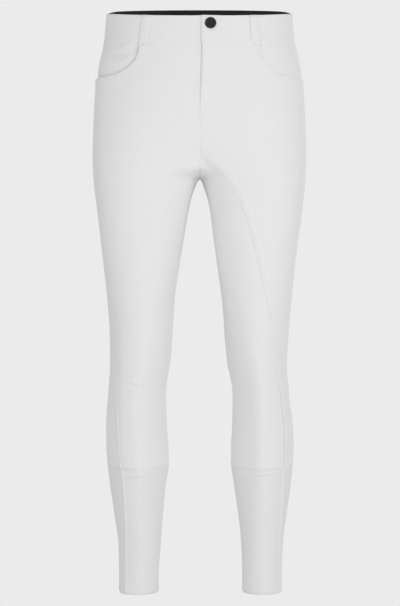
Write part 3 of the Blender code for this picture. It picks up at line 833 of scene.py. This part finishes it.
def front_grid(side):
    """The front with its pocket mouth, and which of its quads are cloth."""
    above = np.concatenate([UNDER_BAND_LEVELS, rows_between(WAIST_SEAM, POCKET_CORNER)[:-1]])
    level = np.concatenate([above, rows_from(POCKET_CORNER, BLEND_END), body_levels(BLEND_END)])
    fly = fly_edge(level) if side == LEFT else -fly_edge(level) - RIGHT_UNDER
    straight = turn_at(side, level, fly * ease(level, FLY_END - 4, FLY_END + 2))
    start = np.where(level > FORK_TIP, straight, leg_seam(side, np.minimum(level, FORK_TIP)))
    share = np.maximum(0.0, (level - BLEND_END) / (POCKET_CORNER - BLEND_END))
    drop = np.where(level > POCKET_CORNER, 0.0, share)
    stop = side_seam(level + drop * (SCOOP_END - POCKET_CORNER))
    split = split_turns(side, level, start, stop, len(above))
    inner, outer = arc_grid(side, level, start, split), arc_grid(side, level, split, stop, fine_start=False)
    grid, last_inner = beside(inner, outer), inner.turn.shape[1] - 1
    moved = grid.level + drop[:, None] * (scoop_level(np.degrees(grid.turn)) - POCKET_CORNER)
    is_outer = np.arange(grid.turn.shape[1]) >= last_inner
    keep = np.ones((len(level) - 1, grid.turn.shape[1] - 1), bool)
    keep[:len(above), last_inner:] = False
    return grid._replace(level=np.where(is_outer, moved, grid.level)), keep


def split_turns(side, level, start, stop, corner):
    """The pocket edge down to its corner's row, then the turn at the same share of each row's length."""
    samples, lengths = measured_rows(side, level, start, stop)
    edge = pocket_edge(np.maximum(level, POCKET_CORNER))
    share = np.interp(edge[corner], samples[corner], lengths[corner]) / lengths[corner, -1]
    below = np.array([np.interp(share * row[-1], row, turns) for row, turns in zip(lengths, samples)])
    return np.where(np.arange(len(level)) <= corner, edge, below)


def seat_grid(side):
    """The back from the side seam to the seat seam, or to the inside of the leg."""
    seat = turn_at(side, BACK_LEVELS, 0.0, behind=True)
    stop = np.where(BACK_LEVELS > CROTCH, seat, FULL_TURN)
    return arc_grid(side, BACK_LEVELS, side_seam(BACK_LEVELS), stop)


def fork_grid(side):
    """The back from the centre front, or from the inside of the leg, to under the leg seam."""
    level = BACK_LEVELS[BACK_LEVELS <= FORK_TIP + 6.0]
    start = np.where(level > CROTCH, turn_at(side, level, 0.0), 0.0)
    below = level < FORK_TIP
    seam = turn_at(side, level, np.where(below, read(LEG_SEAM[side], level)[0], 0.0))
    hidden = UNDERLAP * np.where(below, seam_stretch(side, level), 1.0)
    return arc_grid(side, level, start, seam + hidden * turn_per_mm(side, seam, level))


def cuff_grid(side):
    """The cuff, all the way round from its seam."""
    above, below = CUFF_SEAM + CUFF_HIDDEN, CUFF_SEAM - CUFF_SEWN_DEPTH
    seamed = [from_edge(CUFF_SEAM, HEM)[:-4], steps(CUFF_SEAM - EDGE_STEPS[-4], below, FINE_PITCH)]
    rest = [steps(below, HEM + EDGE_ROOM), from_edge(HEM, above)[::-1]]
    level = np.concatenate([steps(above, CUFF_SEAM, 1.0), *seamed, *rest])
    seam = leg_seam(side, level)
    return arc_grid(side, level, seam, seam + FULL_TURN)


def hip_grid(side):
    """The hip piece, from under the front beside the mouth to the side seam."""
    lower = np.linspace(EDGE_ROOM + 1, HIP_DEPTH, 36)[1:]
    share = np.concatenate([WAIST_SEAM - UNDER_BAND_LEVELS, from_edge(0.0, 1.0), lower]) / HIP_DEPTH
    base = WAIST_SEAM + (POCKET_CORNER - WAIST_SEAM) * share
    hidden = HIP_HIDDEN * turn_per_mm(side, pocket_edge(POCKET_CORNER), POCKET_CORNER)
    last = WAIST_SEAM + (SCOOP_END - HIP_BELOW - WAIST_SEAM) * share
    grid = arc_grid(side, base, pocket_edge(np.minimum(base, WAIST_SEAM)) - hidden, side_seam(last))
    foot = scoop_level(np.degrees(grid.turn)) - HIP_BELOW
    return grid._replace(level=WAIST_SEAM + (foot - WAIST_SEAM) * share[:, None])


def hip_relief(grid, point, normal):
    """The hip piece: sunk where the pocket stands open, and deeper under the front."""
    mouth = mouth_distance(grid, point)
    outside = grid.turn > pocket_edge(np.maximum(grid.level, POCKET_CORNER))
    shown = outside & (grid.level > scoop_level(np.degrees(grid.turn)))
    inside = np.where(shown, mouth, -mouth)
    gape = POCKET_GAPE[side_of(grid)] * (0.35 + 0.65 * ease(grid.stop, 4.0, 45.0))
    gape *= ease(WAIST_SEAM - grid.level, 1.0, 16.0)
    covered = np.maximum(COVERED_DEPTH - gape, 0.0) * (1 - ease(inside, -2.0, 1.5))
    lift = -0.3 - gape * bump(np.maximum(inside, 0.0), 0.0, 10.0) - covered
    return lift + soft_relief(point, normal) + under_band(grid) + valley(grid.stop)


# ---- the waist

BAND_TOP_ROLL = 0.7
# How much lower the left half of the band lies, and the right half beside the fly
BAND_SINK = 0.5
# How much of the slow unevenness the stiffer waist has
WAIST_UNEVEN = 0.6
BAND_STITCH = 2.6
HIP_DIP = 4.5
# How wide the underlap is to the left and right of the middle, and how deep it lies
UNDERLAP_LEFT, UNDERLAP_RIGHT = 33.0, -11.0
UNDERLAP_DEPTH = 3.0
# How far from the middle the facings start
FACING_START = 8.0
FACING_DEPTH = 1.75
RIB_RISE, RIB_PITCH = 0.14, 3.5
WAIST_LEVELS = rows_between(WAIST_TOP, WAIST_SEAM)


def waist_grid(side, edge):
    """Half of the waistband, from this far from the middle in front to the middle behind."""
    stop = turn_at(side, WAIST_LEVELS, 0.0, behind=True)
    grid = arc_grid(side, WAIST_LEVELS, turn_at(side, WAIST_LEVELS, edge), stop)
    dip = HIP_DIP * bump(np.degrees(grid.turn), 180.0, 13.0) * ease(grid.level, 0.0, WAIST_TOP)
    return grid._replace(level=grid.level - dip)


def right_band_grid():
    """The right half with the end that goes on under the left one."""
    end = across_front(WAIST_LEVELS, np.linspace(UNDERLAP_LEFT, 0.6, 12))
    return beside(end, waist_grid(RIGHT, 0.0))


def underlap_grid():
    """The shield behind the closed fly."""
    level = rows_between(WAIST_SEAM - 0.2, FLY_END - 11)
    return across_front(level, np.linspace(UNDERLAP_LEFT, UNDERLAP_RIGHT, 22))


def band_relief(grid, point, normal):
    """The waistband stands a little proud of the cloth below it, with both long edges rounded."""
    lift = uneven(point) * WAIST_UNEVEN + STITCH_DENT + rounded(grid.level - WAIST_SEAM, 0.25)
    lift -= BAND_TOP_ROLL * bump(grid.level, WAIST_TOP, 0.8)
    lift -= 0.1 * bump(np.minimum(grid.level - WAIST_SEAM, WAIST_TOP - grid.level), BAND_STITCH, 0.8)
    return lift + valley(np.abs(point[..., 0])) * (point[..., 1] > 0)


def left_band_relief(grid, point, normal):
    """The half that lies on top at the fly."""
    return band_relief(grid, point, normal) + over_fly(grid.start, 1.0) - BAND_SINK


def right_band_relief(grid, point, normal):
    """The half that goes under at the fly."""
    from_fly = point[..., 0] - fly_edge(grid.level)
    under = under_fly(from_fly, 1.0) - BAND_SINK * ease(from_fly, -20.0, 0.0)
    return band_relief(grid, point, normal) + np.where(point[..., 1] < 0, under, 0.0)


def waist_facing_relief(grid, point, normal):
    """The facing inside the band, with the elastic's ribs."""
    ribs = RIB_RISE * np.sin(FULL_TURN * (grid.level - WAIST_TOP) / RIB_PITCH)
    return uneven(point) * WAIST_UNEVEN - FACING_DEPTH + ribs


def underlap_relief(grid, point, normal):
    """The shield lies flat, this deep behind the fly."""
    return uneven(point) - UNDERLAP_DEPTH


# ---- belt loops and button

LOOP_WIDTH = 16.0
LOOP_CLOTH = 1.3
LOOP_REST = 0.3
LOOP_ARCH = 0.6
LOOP_FOOT = -34.0
LOOP_STITCH = 2.6
LOOP_TACK = 3.0
LOOP_PITCH = 1.5
BACK_LOOP_DROP = 1.4
# name, side, turn in degrees
LOOPS = (
    ("front_left", LEFT, 122.3), ("front_right", RIGHT, 122.3),
    ("side_left", LEFT, 214), ("side_right", RIGHT, 214),
)
LOOP_LEVELS = np.concatenate([
    from_edge(WAIST_TOP, 0)[:-1], steps(WAIST_TOP - EDGE_ROOM - 1, LOOP_FOOT + EDGE_ROOM + 1, LOOP_PITCH),
    from_edge(LOOP_FOOT, 0)[::-1],
])
LOOP_COLUMNS = np.concatenate([
    from_edge(-LOOP_WIDTH / 2, 0)[:7], np.linspace(-1, 1, 3), from_edge(LOOP_WIDTH / 2, 0)[:7][::-1],
])


def loop_grid(side, degrees):
    """A belt loop with its middle at this turn."""
    level, across = np.meshgrid(LOOP_LEVELS, LOOP_COLUMNS, indexing="ij")
    middle = math.radians(degrees)
    turn = middle + across * turn_per_mm(side, middle, level)
    start = across + LOOP_WIDTH / 2
    return Grid(np.full(turn.shape, side), turn, level, start, LOOP_WIDTH - start)


def back_loop_grid():
    """The belt loop over the seat seam."""
    level, across = np.meshgrid(LOOP_LEVELS - BACK_LOOP_DROP, LOOP_COLUMNS, indexing="ij")
    side, start = side_of_reach(across), across + LOOP_WIDTH / 2
    return Grid(side, turn_at(side, level, np.abs(across), behind=True), level, start, LOOP_WIDTH - start)


def loop_relief(grid, point, normal):
    """A belt loop arches a little between its sewn ends, with all its edges rounded."""
    share = (WAIST_TOP - grid.level) / (WAIST_TOP - LOOP_FOOT)
    lift = LOOP_REST + LOOP_CLOTH + LOOP_ARCH * np.sin(math.pi * np.clip(share, 0, 1))
    beside_edge = np.minimum(grid.start, grid.stop)
    lift -= 1.1 * np.exp(-beside_edge / 1.6) + 0.06 * bump(beside_edge, LOOP_STITCH, 0.6)
    ends = np.minimum(WAIST_TOP - grid.level, grid.level - LOOP_FOOT)
    return lift - 1.2 * np.exp(-ends) - 0.3 * bump(ends, LOOP_TACK, 1.0)


BUTTON_ACROSS = 18.4
BUTTON_LEVEL = 7.0
BUTTON_REST = 0.3
# radius and height up the turned cap: a sunken middle with a fine ring, a raised rim and a rounded side
BUTTON_PROFILE = (
    (0, 1.72), (1.2, 1.72), (1.5, 1.95), (1.9, 1.95), (2.2, 1.68), (3.4, 1.66), (4.9, 1.7), (5.3, 1.86),
    (5.6, 1.86), (5.9, 1.75), (6.4, 1.95), (6.9, 2.45), (7.5, 2.9), (8.1, 3.12), (8.6, 3.14), (9.1, 2.95),
    (9.5, 2.5), (9.65, 2), (9.6, 1.4), (9.4, 0.9), (8.9, 0.5), (8.3, 0.3), (0, 0.25),
)
BUTTON_STEPS = 96


def ring_quads(number):
    """Quads between neighbouring rings of numbered points, where each ring runs along the last axis."""
    beyond = np.roll(number, -1, axis=-1)
    corners = number[..., :-1, :], beyond[..., :-1, :], beyond[..., 1:, :], number[..., 1:, :]
    return np.stack(corners, axis=-1).reshape(-1, 4)


def button_mesh():
    """The button, turned round the way out of the waistband."""
    turn = turn_at(LEFT, BUTTON_LEVEL, BUTTON_ACROSS)
    normal = form_normal(LEFT, turn, BUTTON_LEVEL)
    right = np.cross(normal, (0, 0, 1))
    right /= np.linalg.norm(right)
    angle = np.linspace(0, FULL_TURN, BUTTON_STEPS, endpoint=False)[:, None]
    spoke = np.cos(angle) * right + np.sin(angle) * np.cross(right, normal)
    lift = BUTTON_REST + over_fly(BUTTON_ACROSS - fly_edge(BUTTON_LEVEL), 1.0) - BAND_SINK
    centre = form_point(LEFT, turn, BUTTON_LEVEL) + normal * lift
    profile = np.array(BUTTON_PROFILE)
    points = centre + profile[:, None, :1] * spoke + profile[:, None, 1:] * normal
    number = np.arange(len(profile) * BUTTON_STEPS).reshape(len(profile), BUTTON_STEPS)
    flat = points.reshape(-1, 3)
    return make_mesh("waist_button", flat, ring_quads(number), flat[:, [0, 2]], closed=True)


# ---- sewing

STITCH_PITCH = 3.2
STITCH_LENGTH = 2.5
ZIGZAG_STEP = 1.3
ZIGZAG_HALF_WIDTH = 1.3
TACK_STEP = 0.7
LOOP_TACK_HALF_HEIGHT = 0.9
# The sides of the bar at the fly's foot, from the middle plane, and of the zigzag above the cuff seam
FLY_TACK_REACH = (0.8, 3.2)
CUFF_ZIGZAG = (3.4, 0.9)
BAND_LINE_START, BAND_LINE_END = 6.0, 1.5
# share of a stitch's length, height above the cloth and thickness
STITCH_RINGS = ((0, -0.3, 0.16), (0.14, 0.06, 0.25), (0.5, 0.16, 0.28), (0.86, 0.06, 0.25), (1, -0.3, 0.16))
STITCH_SIDES = 5


def line_on(side, turn, level, start, stop, relief):
    """A line on the dressed cloth: each row holds a point and the way out."""
    line = np.broadcast_arrays(side, turn, level, start, stop)
    return np.hstack(dressed(Grid(*line), relief))


def placed(line, distances):
    """The rows of a line at these distances along it."""
    along = np.linalg.norm(np.diff(line[:, :3], axis=0), axis=1)
    reach = np.concatenate([[0.0], np.cumsum(along)])
    return np.stack([np.interp(distances, reach, column) for column in line.T], axis=1)


def line_length(line):
    """How long a line on the cloth is."""
    return float(np.linalg.norm(np.diff(line[:, :3], axis=0), axis=1).sum())


def running(line):
    """Stitches end to end along a line: their first points, last points and ways out."""
    start = np.arange(0.0, line_length(line) - STITCH_LENGTH, STITCH_PITCH)
    first, middle, last = (placed(line, start + more * STITCH_LENGTH) for more in (0.0, 0.5, 1.0))
    return first[:, :3], last[:, :3], middle[:, 3:]


def zigzag(upper, lower, step=ZIGZAG_STEP):
    """Stitches to and fro between two lines."""
    share = np.linspace(0, 1, max(4, round(line_length(upper) / step)))
    ends = [placed(line, share * line_length(line)) for line in (upper, lower)]
    rows = np.where((np.arange(len(share)) % 2 == 0)[:, None], *ends)
    return rows[:-1, :3], rows[1:, :3], (rows[:-1, 3:] + rows[1:, 3:]) / 2


def thread_mesh(name, stitches):
    """Every stitch as a short rounded thread, all in one mesh."""
    first, last, out = (np.vstack([group[k] for group in stitches]) for k in range(3))
    run = last - first
    run /= np.linalg.norm(run, axis=1, keepdims=True)
    aside = np.cross(run, out)
    aside /= np.linalg.norm(aside, axis=1, keepdims=True)
    up = np.cross(aside, run)
    rings = np.array(STITCH_RINGS)
    centre = first[:, None] + (last - first)[:, None] * rings[:, :1] + up[:, None] * rings[:, 1:2]
    angle = np.linspace(0, FULL_TURN, STITCH_SIDES, endpoint=False)
    spoke = np.cos(angle)[:, None] * aside[:, None] + np.sin(angle)[:, None] * up[:, None]
    points = centre[:, :, None] + spoke[:, None] * rings[:, 2][:, None, None]
    number = np.arange(len(first) * len(rings) * STITCH_SIDES).reshape(len(first), len(rings), STITCH_SIDES)
    caps = [ring[::-1].tolist() for ring in number[:, 0]] + [ring.tolist() for ring in number[:, -1]]
    mesh = bpy.data.meshes.new(name)
    mesh.from_pydata((points.reshape(-1, 3) * MM).tolist(), [], ring_quads(number).tolist() + caps)
    mesh.shade_smooth()
    return mesh


def fly_line(level, reach, from_edge):
    """A line down the left front, this far from the middle plane and from the fly's edge."""
    return line_on(LEFT, turn_at(LEFT, level, reach), level, from_edge, FAR, front_relief)


def fly_stitches():
    """The fly's row of stitches and the dense short bar at its foot."""
    level = np.linspace(WAIST_SEAM - 3, FLY_END + 5, 160)
    foot = np.linspace(FLY_END + 9, FLY_END + 1, 12)
    row = fly_line(level, fly_edge(level) + FLY_STITCH, FLY_STITCH)
    return [running(row), zigzag(*(fly_line(foot, reach, reach) for reach in FLY_TACK_REACH), TACK_STEP)]


def mouth_line(side, distance):
    """A line on the front at this distance from the pocket mouth."""
    turn, level = mouth_places(WAIST_SEAM - 2, SCOOP_STOP - 0.5, 60, 160)
    per_mm = turn_per_mm(side, turn, level)
    run, fall = np.gradient(turn) / per_mm, np.gradient(level)
    share = distance / np.hypot(run, fall)
    return line_on(side, turn + fall * share * per_mm, level - run * share, FAR, FAR, front_relief)


def line_by_seam(side, level, aside, relief):
    """A line beside the leg seam, this far from it round the leg."""
    seam = leg_seam(side, level)
    return line_on(side, seam + aside * turn_per_mm(side, seam, level), level, np.abs(aside), FAR, relief)


def line_round(side, level, first, last, count, relief, hidden=0.0):
    """A level line from one turn to another, on a piece that goes on this far unseen past the last."""
    turn = np.linspace(first, last, count)
    per_mm = turn_per_mm(side, turn, level)
    return line_on(side, turn, level, (turn - first) / per_mm, (last - turn) / per_mm + hidden, relief)


def around_leg(side, level):
    """A line round the bottom of a leg, over its three pieces."""
    ends = 0.0, leg_seam(side, level), side_seam(level), FULL_TURN
    pieces = zip(ends, ends[1:], (fork_relief, front_relief, seat_relief))
    return np.vstack([line_round(side, level, *turns, 120, relief, UNDERLAP) for *turns, relief in pieces])


def around_hem(side):
    """The line of stitches above a hem."""
    level = HEM + HEM_STITCH
    seam = leg_seam(side, level)
    return line_round(side, level, seam, seam + FULL_TURN, 240, cuff_relief)


def band_line(side, level):
    """A line round half of the waistband, clear of its ends."""
    first, last = turn_at(side, level, BAND_LINE_START), turn_at(side, level, BAND_LINE_END, behind=True)
    turn = np.linspace(first, last, 300)
    start = BAND_LINE_START - fly_edge(level) + (turn - first) / turn_per_mm(side, first, level)
    return line_on(side, turn, level, start, FAR, left_band_relief if side == LEFT else right_band_relief)


def between(place, places, rows):
    """What the rows, which have these rising places, come to at a place between two of them."""
    after = np.searchsorted(places, place)
    share = (place - places[after - 1]) / (places[after] - places[after - 1])
    return rows[after - 1] + share * (rows[after] - rows[after - 1])


def loop_stitches(grid):
    """The two edge lines of a belt loop and the dense bars at its ends."""
    rows = np.concatenate(dressed(grid, loop_relief), axis=-1)
    columns, places = rows.swapaxes(0, 1), grid.level[::-1, 0]
    insets = LOOP_STITCH, LOOP_WIDTH - LOOP_STITCH
    stitches = [running(between(inset, grid.start[0], columns)) for inset in insets]
    for middle in (LOOP_FOOT + LOOP_TACK, WAIST_TOP - LOOP_TACK):
        heights = middle - LOOP_TACK_HALF_HEIGHT, middle + LOOP_TACK_HALF_HEIGHT
        edges = [between(height, places, rows[::-1])[2:-2] for height in heights]
        stitches.append(zigzag(*edges, TACK_STEP))
    return stitches


def all_stitches():
    """Every group of stitches on the breeches."""
    stitches = [*fly_stitches(), *loop_stitches(back_loop_grid())]
    for _, side, degrees in LOOPS:
        stitches += loop_stitches(loop_grid(side, degrees))
    leg = np.linspace(FORK_TIP - 9, CUFF_SEAM + 4, 420)
    cuff = np.linspace(CUFF_SEAM - 2, HEM + 4, 200)
    for side in SIDE_NAMES:
        rows = [line_by_seam(side, leg, LAP_STITCH * seam_stretch(side, leg), front_relief)]
        rows += [mouth_line(side, distance) for distance in MOUTH_STITCHES]
        rows += [band_line(side, level) for level in (WAIST_SEAM + BAND_STITCH, WAIST_TOP - BAND_STITCH)]
        stitches += [running(row) for row in (*rows, around_hem(side))]
        stitches.append(zigzag(*(around_leg(side, CUFF_SEAM + height) for height in CUFF_ZIGZAG)))
        asides = -ZIGZAG_HALF_WIDTH, ZIGZAG_HALF_WIDTH
        stitches.append(zigzag(*(line_by_seam(side, cuff, aside, cuff_relief) for aside in asides)))
    return stitches


# ---- materials

WAVE_PERIOD = 0.314
YARN_DEPTH = 0.0002
WANDER_STOPS = (0.35, 0.65)
# The directions of the yarns and how far apart they are, in millimetres
TWILL = (("DIAGONAL", 0.9), ("X", 0.5))
KNIT = (("X", 1.1), ("Y", 0.8))
ELASTIC = (("Y", 0.9), ("X", 0.7))
# The two colours that each look wanders between
WHITE = (0.795, 0.795, 0.797), (0.80, 0.80, 0.80)
PALE = (0.77, 0.77, 0.775), (0.775, 0.775, 0.78)
BLACK = (0.009, 0.009, 0.01), (0.013, 0.013, 0.014)
THREAD = (0.79, 0.79, 0.79), (0.81, 0.81, 0.81)
PLATE = (0.038, 0.039, 0.042), (0.05, 0.052, 0.056)
SCUFFS = (0.30, 0.30, 0.30), (0.46, 0.46, 0.46)


def new_material(name):
    """A material with its node tree and its surface."""
    material = bpy.data.materials.new(name)
    material.use_nodes = True
    tree = material.node_tree
    return material, tree, tree.nodes["Principled BSDF"]


def set_inputs(node, values):
    """Set the inputs that these values are named after."""
    for name, value in values.items():
        node.inputs[name].default_value = value


def varied(tree, scale, detail, low, high):
    """A colour that wanders softly between two others over the object."""
    noise, ramp = tree.nodes.new("ShaderNodeTexNoise"), tree.nodes.new("ShaderNodeValToRGB")
    set_inputs(noise, {"Scale": scale, "Detail": detail})
    for element, position, colour in zip(ramp.color_ramp.elements, WANDER_STOPS, (low, high)):
        element.position = position
        element.color = (*colour, 1)
    place = tree.nodes.new("ShaderNodeTexCoord")
    tree.links.new(place.outputs["Object"], noise.inputs["Vector"])
    tree.links.new(noise.outputs["Fac"], ramp.inputs["Fac"])
    return ramp.outputs["Color"]


def yarns(tree, direction, pitch):
    """Fine even bands over the cloth, this far apart."""
    wave, place = tree.nodes.new("ShaderNodeTexWave"), tree.nodes.new("ShaderNodeUVMap")
    place.uv_map = "cloth"
    wave.bands_direction = direction
    scale = WAVE_PERIOD / pitch * (2 if direction == "DIAGONAL" else 1)
    set_inputs(wave, {"Scale": scale, "Distortion": 0.4})
    tree.links.new(place.outputs["UV"], wave.inputs["Vector"])
    return wave.outputs["Fac"]


def woven(name, colours, yarn_bands, roughness, sheen, relief):
    """Cloth whose surface two sets of yarns raise and sink."""
    material, tree, shader = new_material(name)
    set_inputs(shader, {"Roughness": roughness, "Sheen Weight": sheen, "Sheen Roughness": 0.5})
    tree.links.new(varied(tree, 38.0, 4.0, *colours), shader.inputs["Base Color"])
    both, relief_node = tree.nodes.new("ShaderNodeMath"), tree.nodes.new("ShaderNodeBump")
    both.operation = "MULTIPLY"
    for socket, bands in zip(both.inputs, yarn_bands):
        tree.links.new(yarns(tree, *bands), socket)
    set_inputs(relief_node, {"Strength": relief, "Distance": YARN_DEPTH})
    tree.links.new(both.outputs["Value"], relief_node.inputs["Height"])
    tree.links.new(relief_node.outputs["Normal"], shader.inputs["Normal"])
    return material


def spun(name):
    """Thread, with the fine roughness of its fibres."""
    material, tree, shader = new_material(name)
    set_inputs(shader, {"Roughness": 0.6, "Sheen Weight": 0.2})
    tree.links.new(varied(tree, 900.0, 2.0, *THREAD), shader.inputs["Base Color"])
    return material


def dark_metal(name):
    """Dark plated metal with fine scuffs."""
    material, tree, shader = new_material(name)
    set_inputs(shader, {"Metallic": 0.9})
    tree.links.new(varied(tree, 700.0, 6.0, *SCUFFS), shader.inputs["Roughness"])
    tree.links.new(varied(tree, 900.0, 5.0, *PLATE), shader.inputs["Base Color"])
    return material


# ---- the scene

LENS = 122.9
CAMERA_PLACE = (0.0007, -3.6, -0.4845)
LIT_POINT = Vector((0, 0, -0.12))
BACKDROP = (0.831, 0.831, 0.831, 1)
AMBIENT = 0.76
FLOOR_HALF, FLOOR_HEIGHT = 9.0, -1.1
# name, degrees to the right of the camera, degrees up, distance, size, strength, whether metal mirrors it
LIGHTS = (
    ("key", 15, -7, 2.6, 1.4, 0.91, False),
    ("fill", -35, -4, 2.8, 1.4, 0.17, False),
    ("side", 52, 4, 2.8, 1.4, 0.19, True),
    ("back_right", 150, 14, 3, 1.2, 0.36, True),
    ("back_left", -135, 8, 3, 1.6, 0.12, True),
)


def build_pieces():
    """Every visible piece, each cloth one in place of the solid of its name."""
    white = woven("stretch_twill", WHITE, TWILL, 0.85, 0.25, 0.25), "white_cloth"
    stretch = woven("stretch_knit", PALE, KNIT, 0.85, 0.25, 0.3), "white_stretch_cloth"
    black = woven("black_elastic", BLACK, ELASTIC, 0.7, 0.05, 0.4), "black_facing"
    for side, name in SIDE_NAMES.items():
        front, keep = front_grid(side)
        back = (seat_grid(side), seat_relief), (fork_grid(side), fork_relief)
        facing = waist_grid(side, FACING_START), waist_facing_relief
        cloth_piece(f"cloth_front_{name}", f"front_{name}", side, white, (front, front_relief, keep))
        cloth_piece(f"cloth_back_{name}", f"back_{name}", side, white, *back)
        cloth_piece(f"cloth_cuff_{name}", f"cuff_{name}", side, stretch, (cuff_grid(side), cuff_relief))
        cloth_piece(f"cloth_hip_{name}", f"pocket_facing_{name}", side, white, (hip_grid(side), hip_relief))
        cloth_piece(f"cloth_facing_{name}", f"facing_{name}", side, black, facing, thickness=FACING_CLOTH)
    band = waist_grid(LEFT, fly_edge(WAIST_LEVELS)), left_band_relief
    cloth_piece("cloth_band_left", "waistband_left", LEFT, white, band)
    cloth_piece("cloth_band_right", "waistband_right", RIGHT, white, (right_band_grid(), right_band_relief))
    cloth_piece("cloth_underlap", "fly_underlap", RIGHT, white, (underlap_grid(), underlap_relief))
    loops = [(name, side, loop_grid(side, degrees)) for name, side, degrees in LOOPS]
    for name, side, grid in (*loops, ("back", LEFT, back_loop_grid())):
        part = grid, loop_relief
        cloth_piece(f"cloth_loop_{name}", f"belt_loop_{name}", side, white, part, thickness=LOOP_CLOTH)
    add_piece("fine_button", button_mesh(), dark_metal("gunmetal_finish"), "gunmetal", ["waist_button"])
    add_piece("sewing", thread_mesh("sewing", all_stitches()), spun("white_thread"), "white_cloth", [])


def camera():
    """A level view of the front, like the photograph's."""
    data = bpy.data.cameras.new("camera")
    data.lens = LENS
    thing = add_object("camera", data)
    thing.location = CAMERA_PLACE
    thing.rotation_euler = (math.pi / 2, 0, 0)
    bpy.context.scene.camera = thing


def soft_light(name, aside, up, distance, size, strength, mirrored):
    """A large soft light at these angles from the camera, as strong on the object as such a sun."""
    data = bpy.data.lights.new(name, "AREA")
    data.shape = "DISK"
    data.size = size
    data.energy = strength * math.pi * distance**2
    thing = add_object(name, data)
    turn, rise = math.radians(aside), math.radians(up)
    way = Vector((math.sin(turn) * math.cos(rise), -math.cos(turn) * math.cos(rise), math.sin(rise)))
    thing.location = LIT_POINT + way * distance
    thing.rotation_mode = "QUATERNION"
    thing.rotation_quaternion = way.to_track_quat("Z", "Y")
    thing.visible_camera = False
    thing.visible_glossy = mirrored


def studio_world():
    """The camera sees the pale backdrop, while the object gets a weaker light from all round."""
    world = bpy.data.worlds.new("studio")
    world.use_nodes = True
    nodes, links = world.node_tree.nodes, world.node_tree.links
    seen = nodes["Background"]
    seen.inputs["Color"].default_value = BACKDROP
    ambient = nodes.new("ShaderNodeBackground")
    ambient.inputs["Color"].default_value = BACKDROP
    ambient.inputs["Strength"].default_value = AMBIENT
    path, mix = nodes.new("ShaderNodeLightPath"), nodes.new("ShaderNodeMixShader")
    links.new(path.outputs["Is Camera Ray"], mix.inputs["Fac"])
    links.new(ambient.outputs["Background"], mix.inputs[1])
    links.new(seen.outputs["Background"], mix.inputs[2])
    links.new(mix.outputs["Shader"], nodes["World Output"].inputs["Surface"])
    bpy.context.scene.world = world


def pale_floor():
    """A floor as pale as the backdrop, under the hems."""
    low, high, height = -FLOOR_HALF, FLOOR_HALF, FLOOR_HEIGHT
    corners = [(low, low, height), (high, low, height), (high, high, height), (low, high, height)]
    mesh = bpy.data.meshes.new("floor")
    mesh.from_pydata(corners, [], [(0, 1, 2, 3)])
    material, _, shader = new_material("pale_floor")
    set_inputs(shader, {"Base Color": (0, 0, 0, 1), "Specular IOR Level": 0.0})
    set_inputs(shader, {"Emission Color": BACKDROP, "Emission Strength": 1.0})
    mesh.materials.append(material)
    floor = add_object("floor", mesh)
    floor.visible_diffuse = floor.visible_glossy = floor.visible_shadow = False


build_pieces()
camera()
for light in LIGHTS:
    soft_light(*light)
studio_world()
pale_floor()
bpy.context.scene.view_settings.view_transform = "Standard"
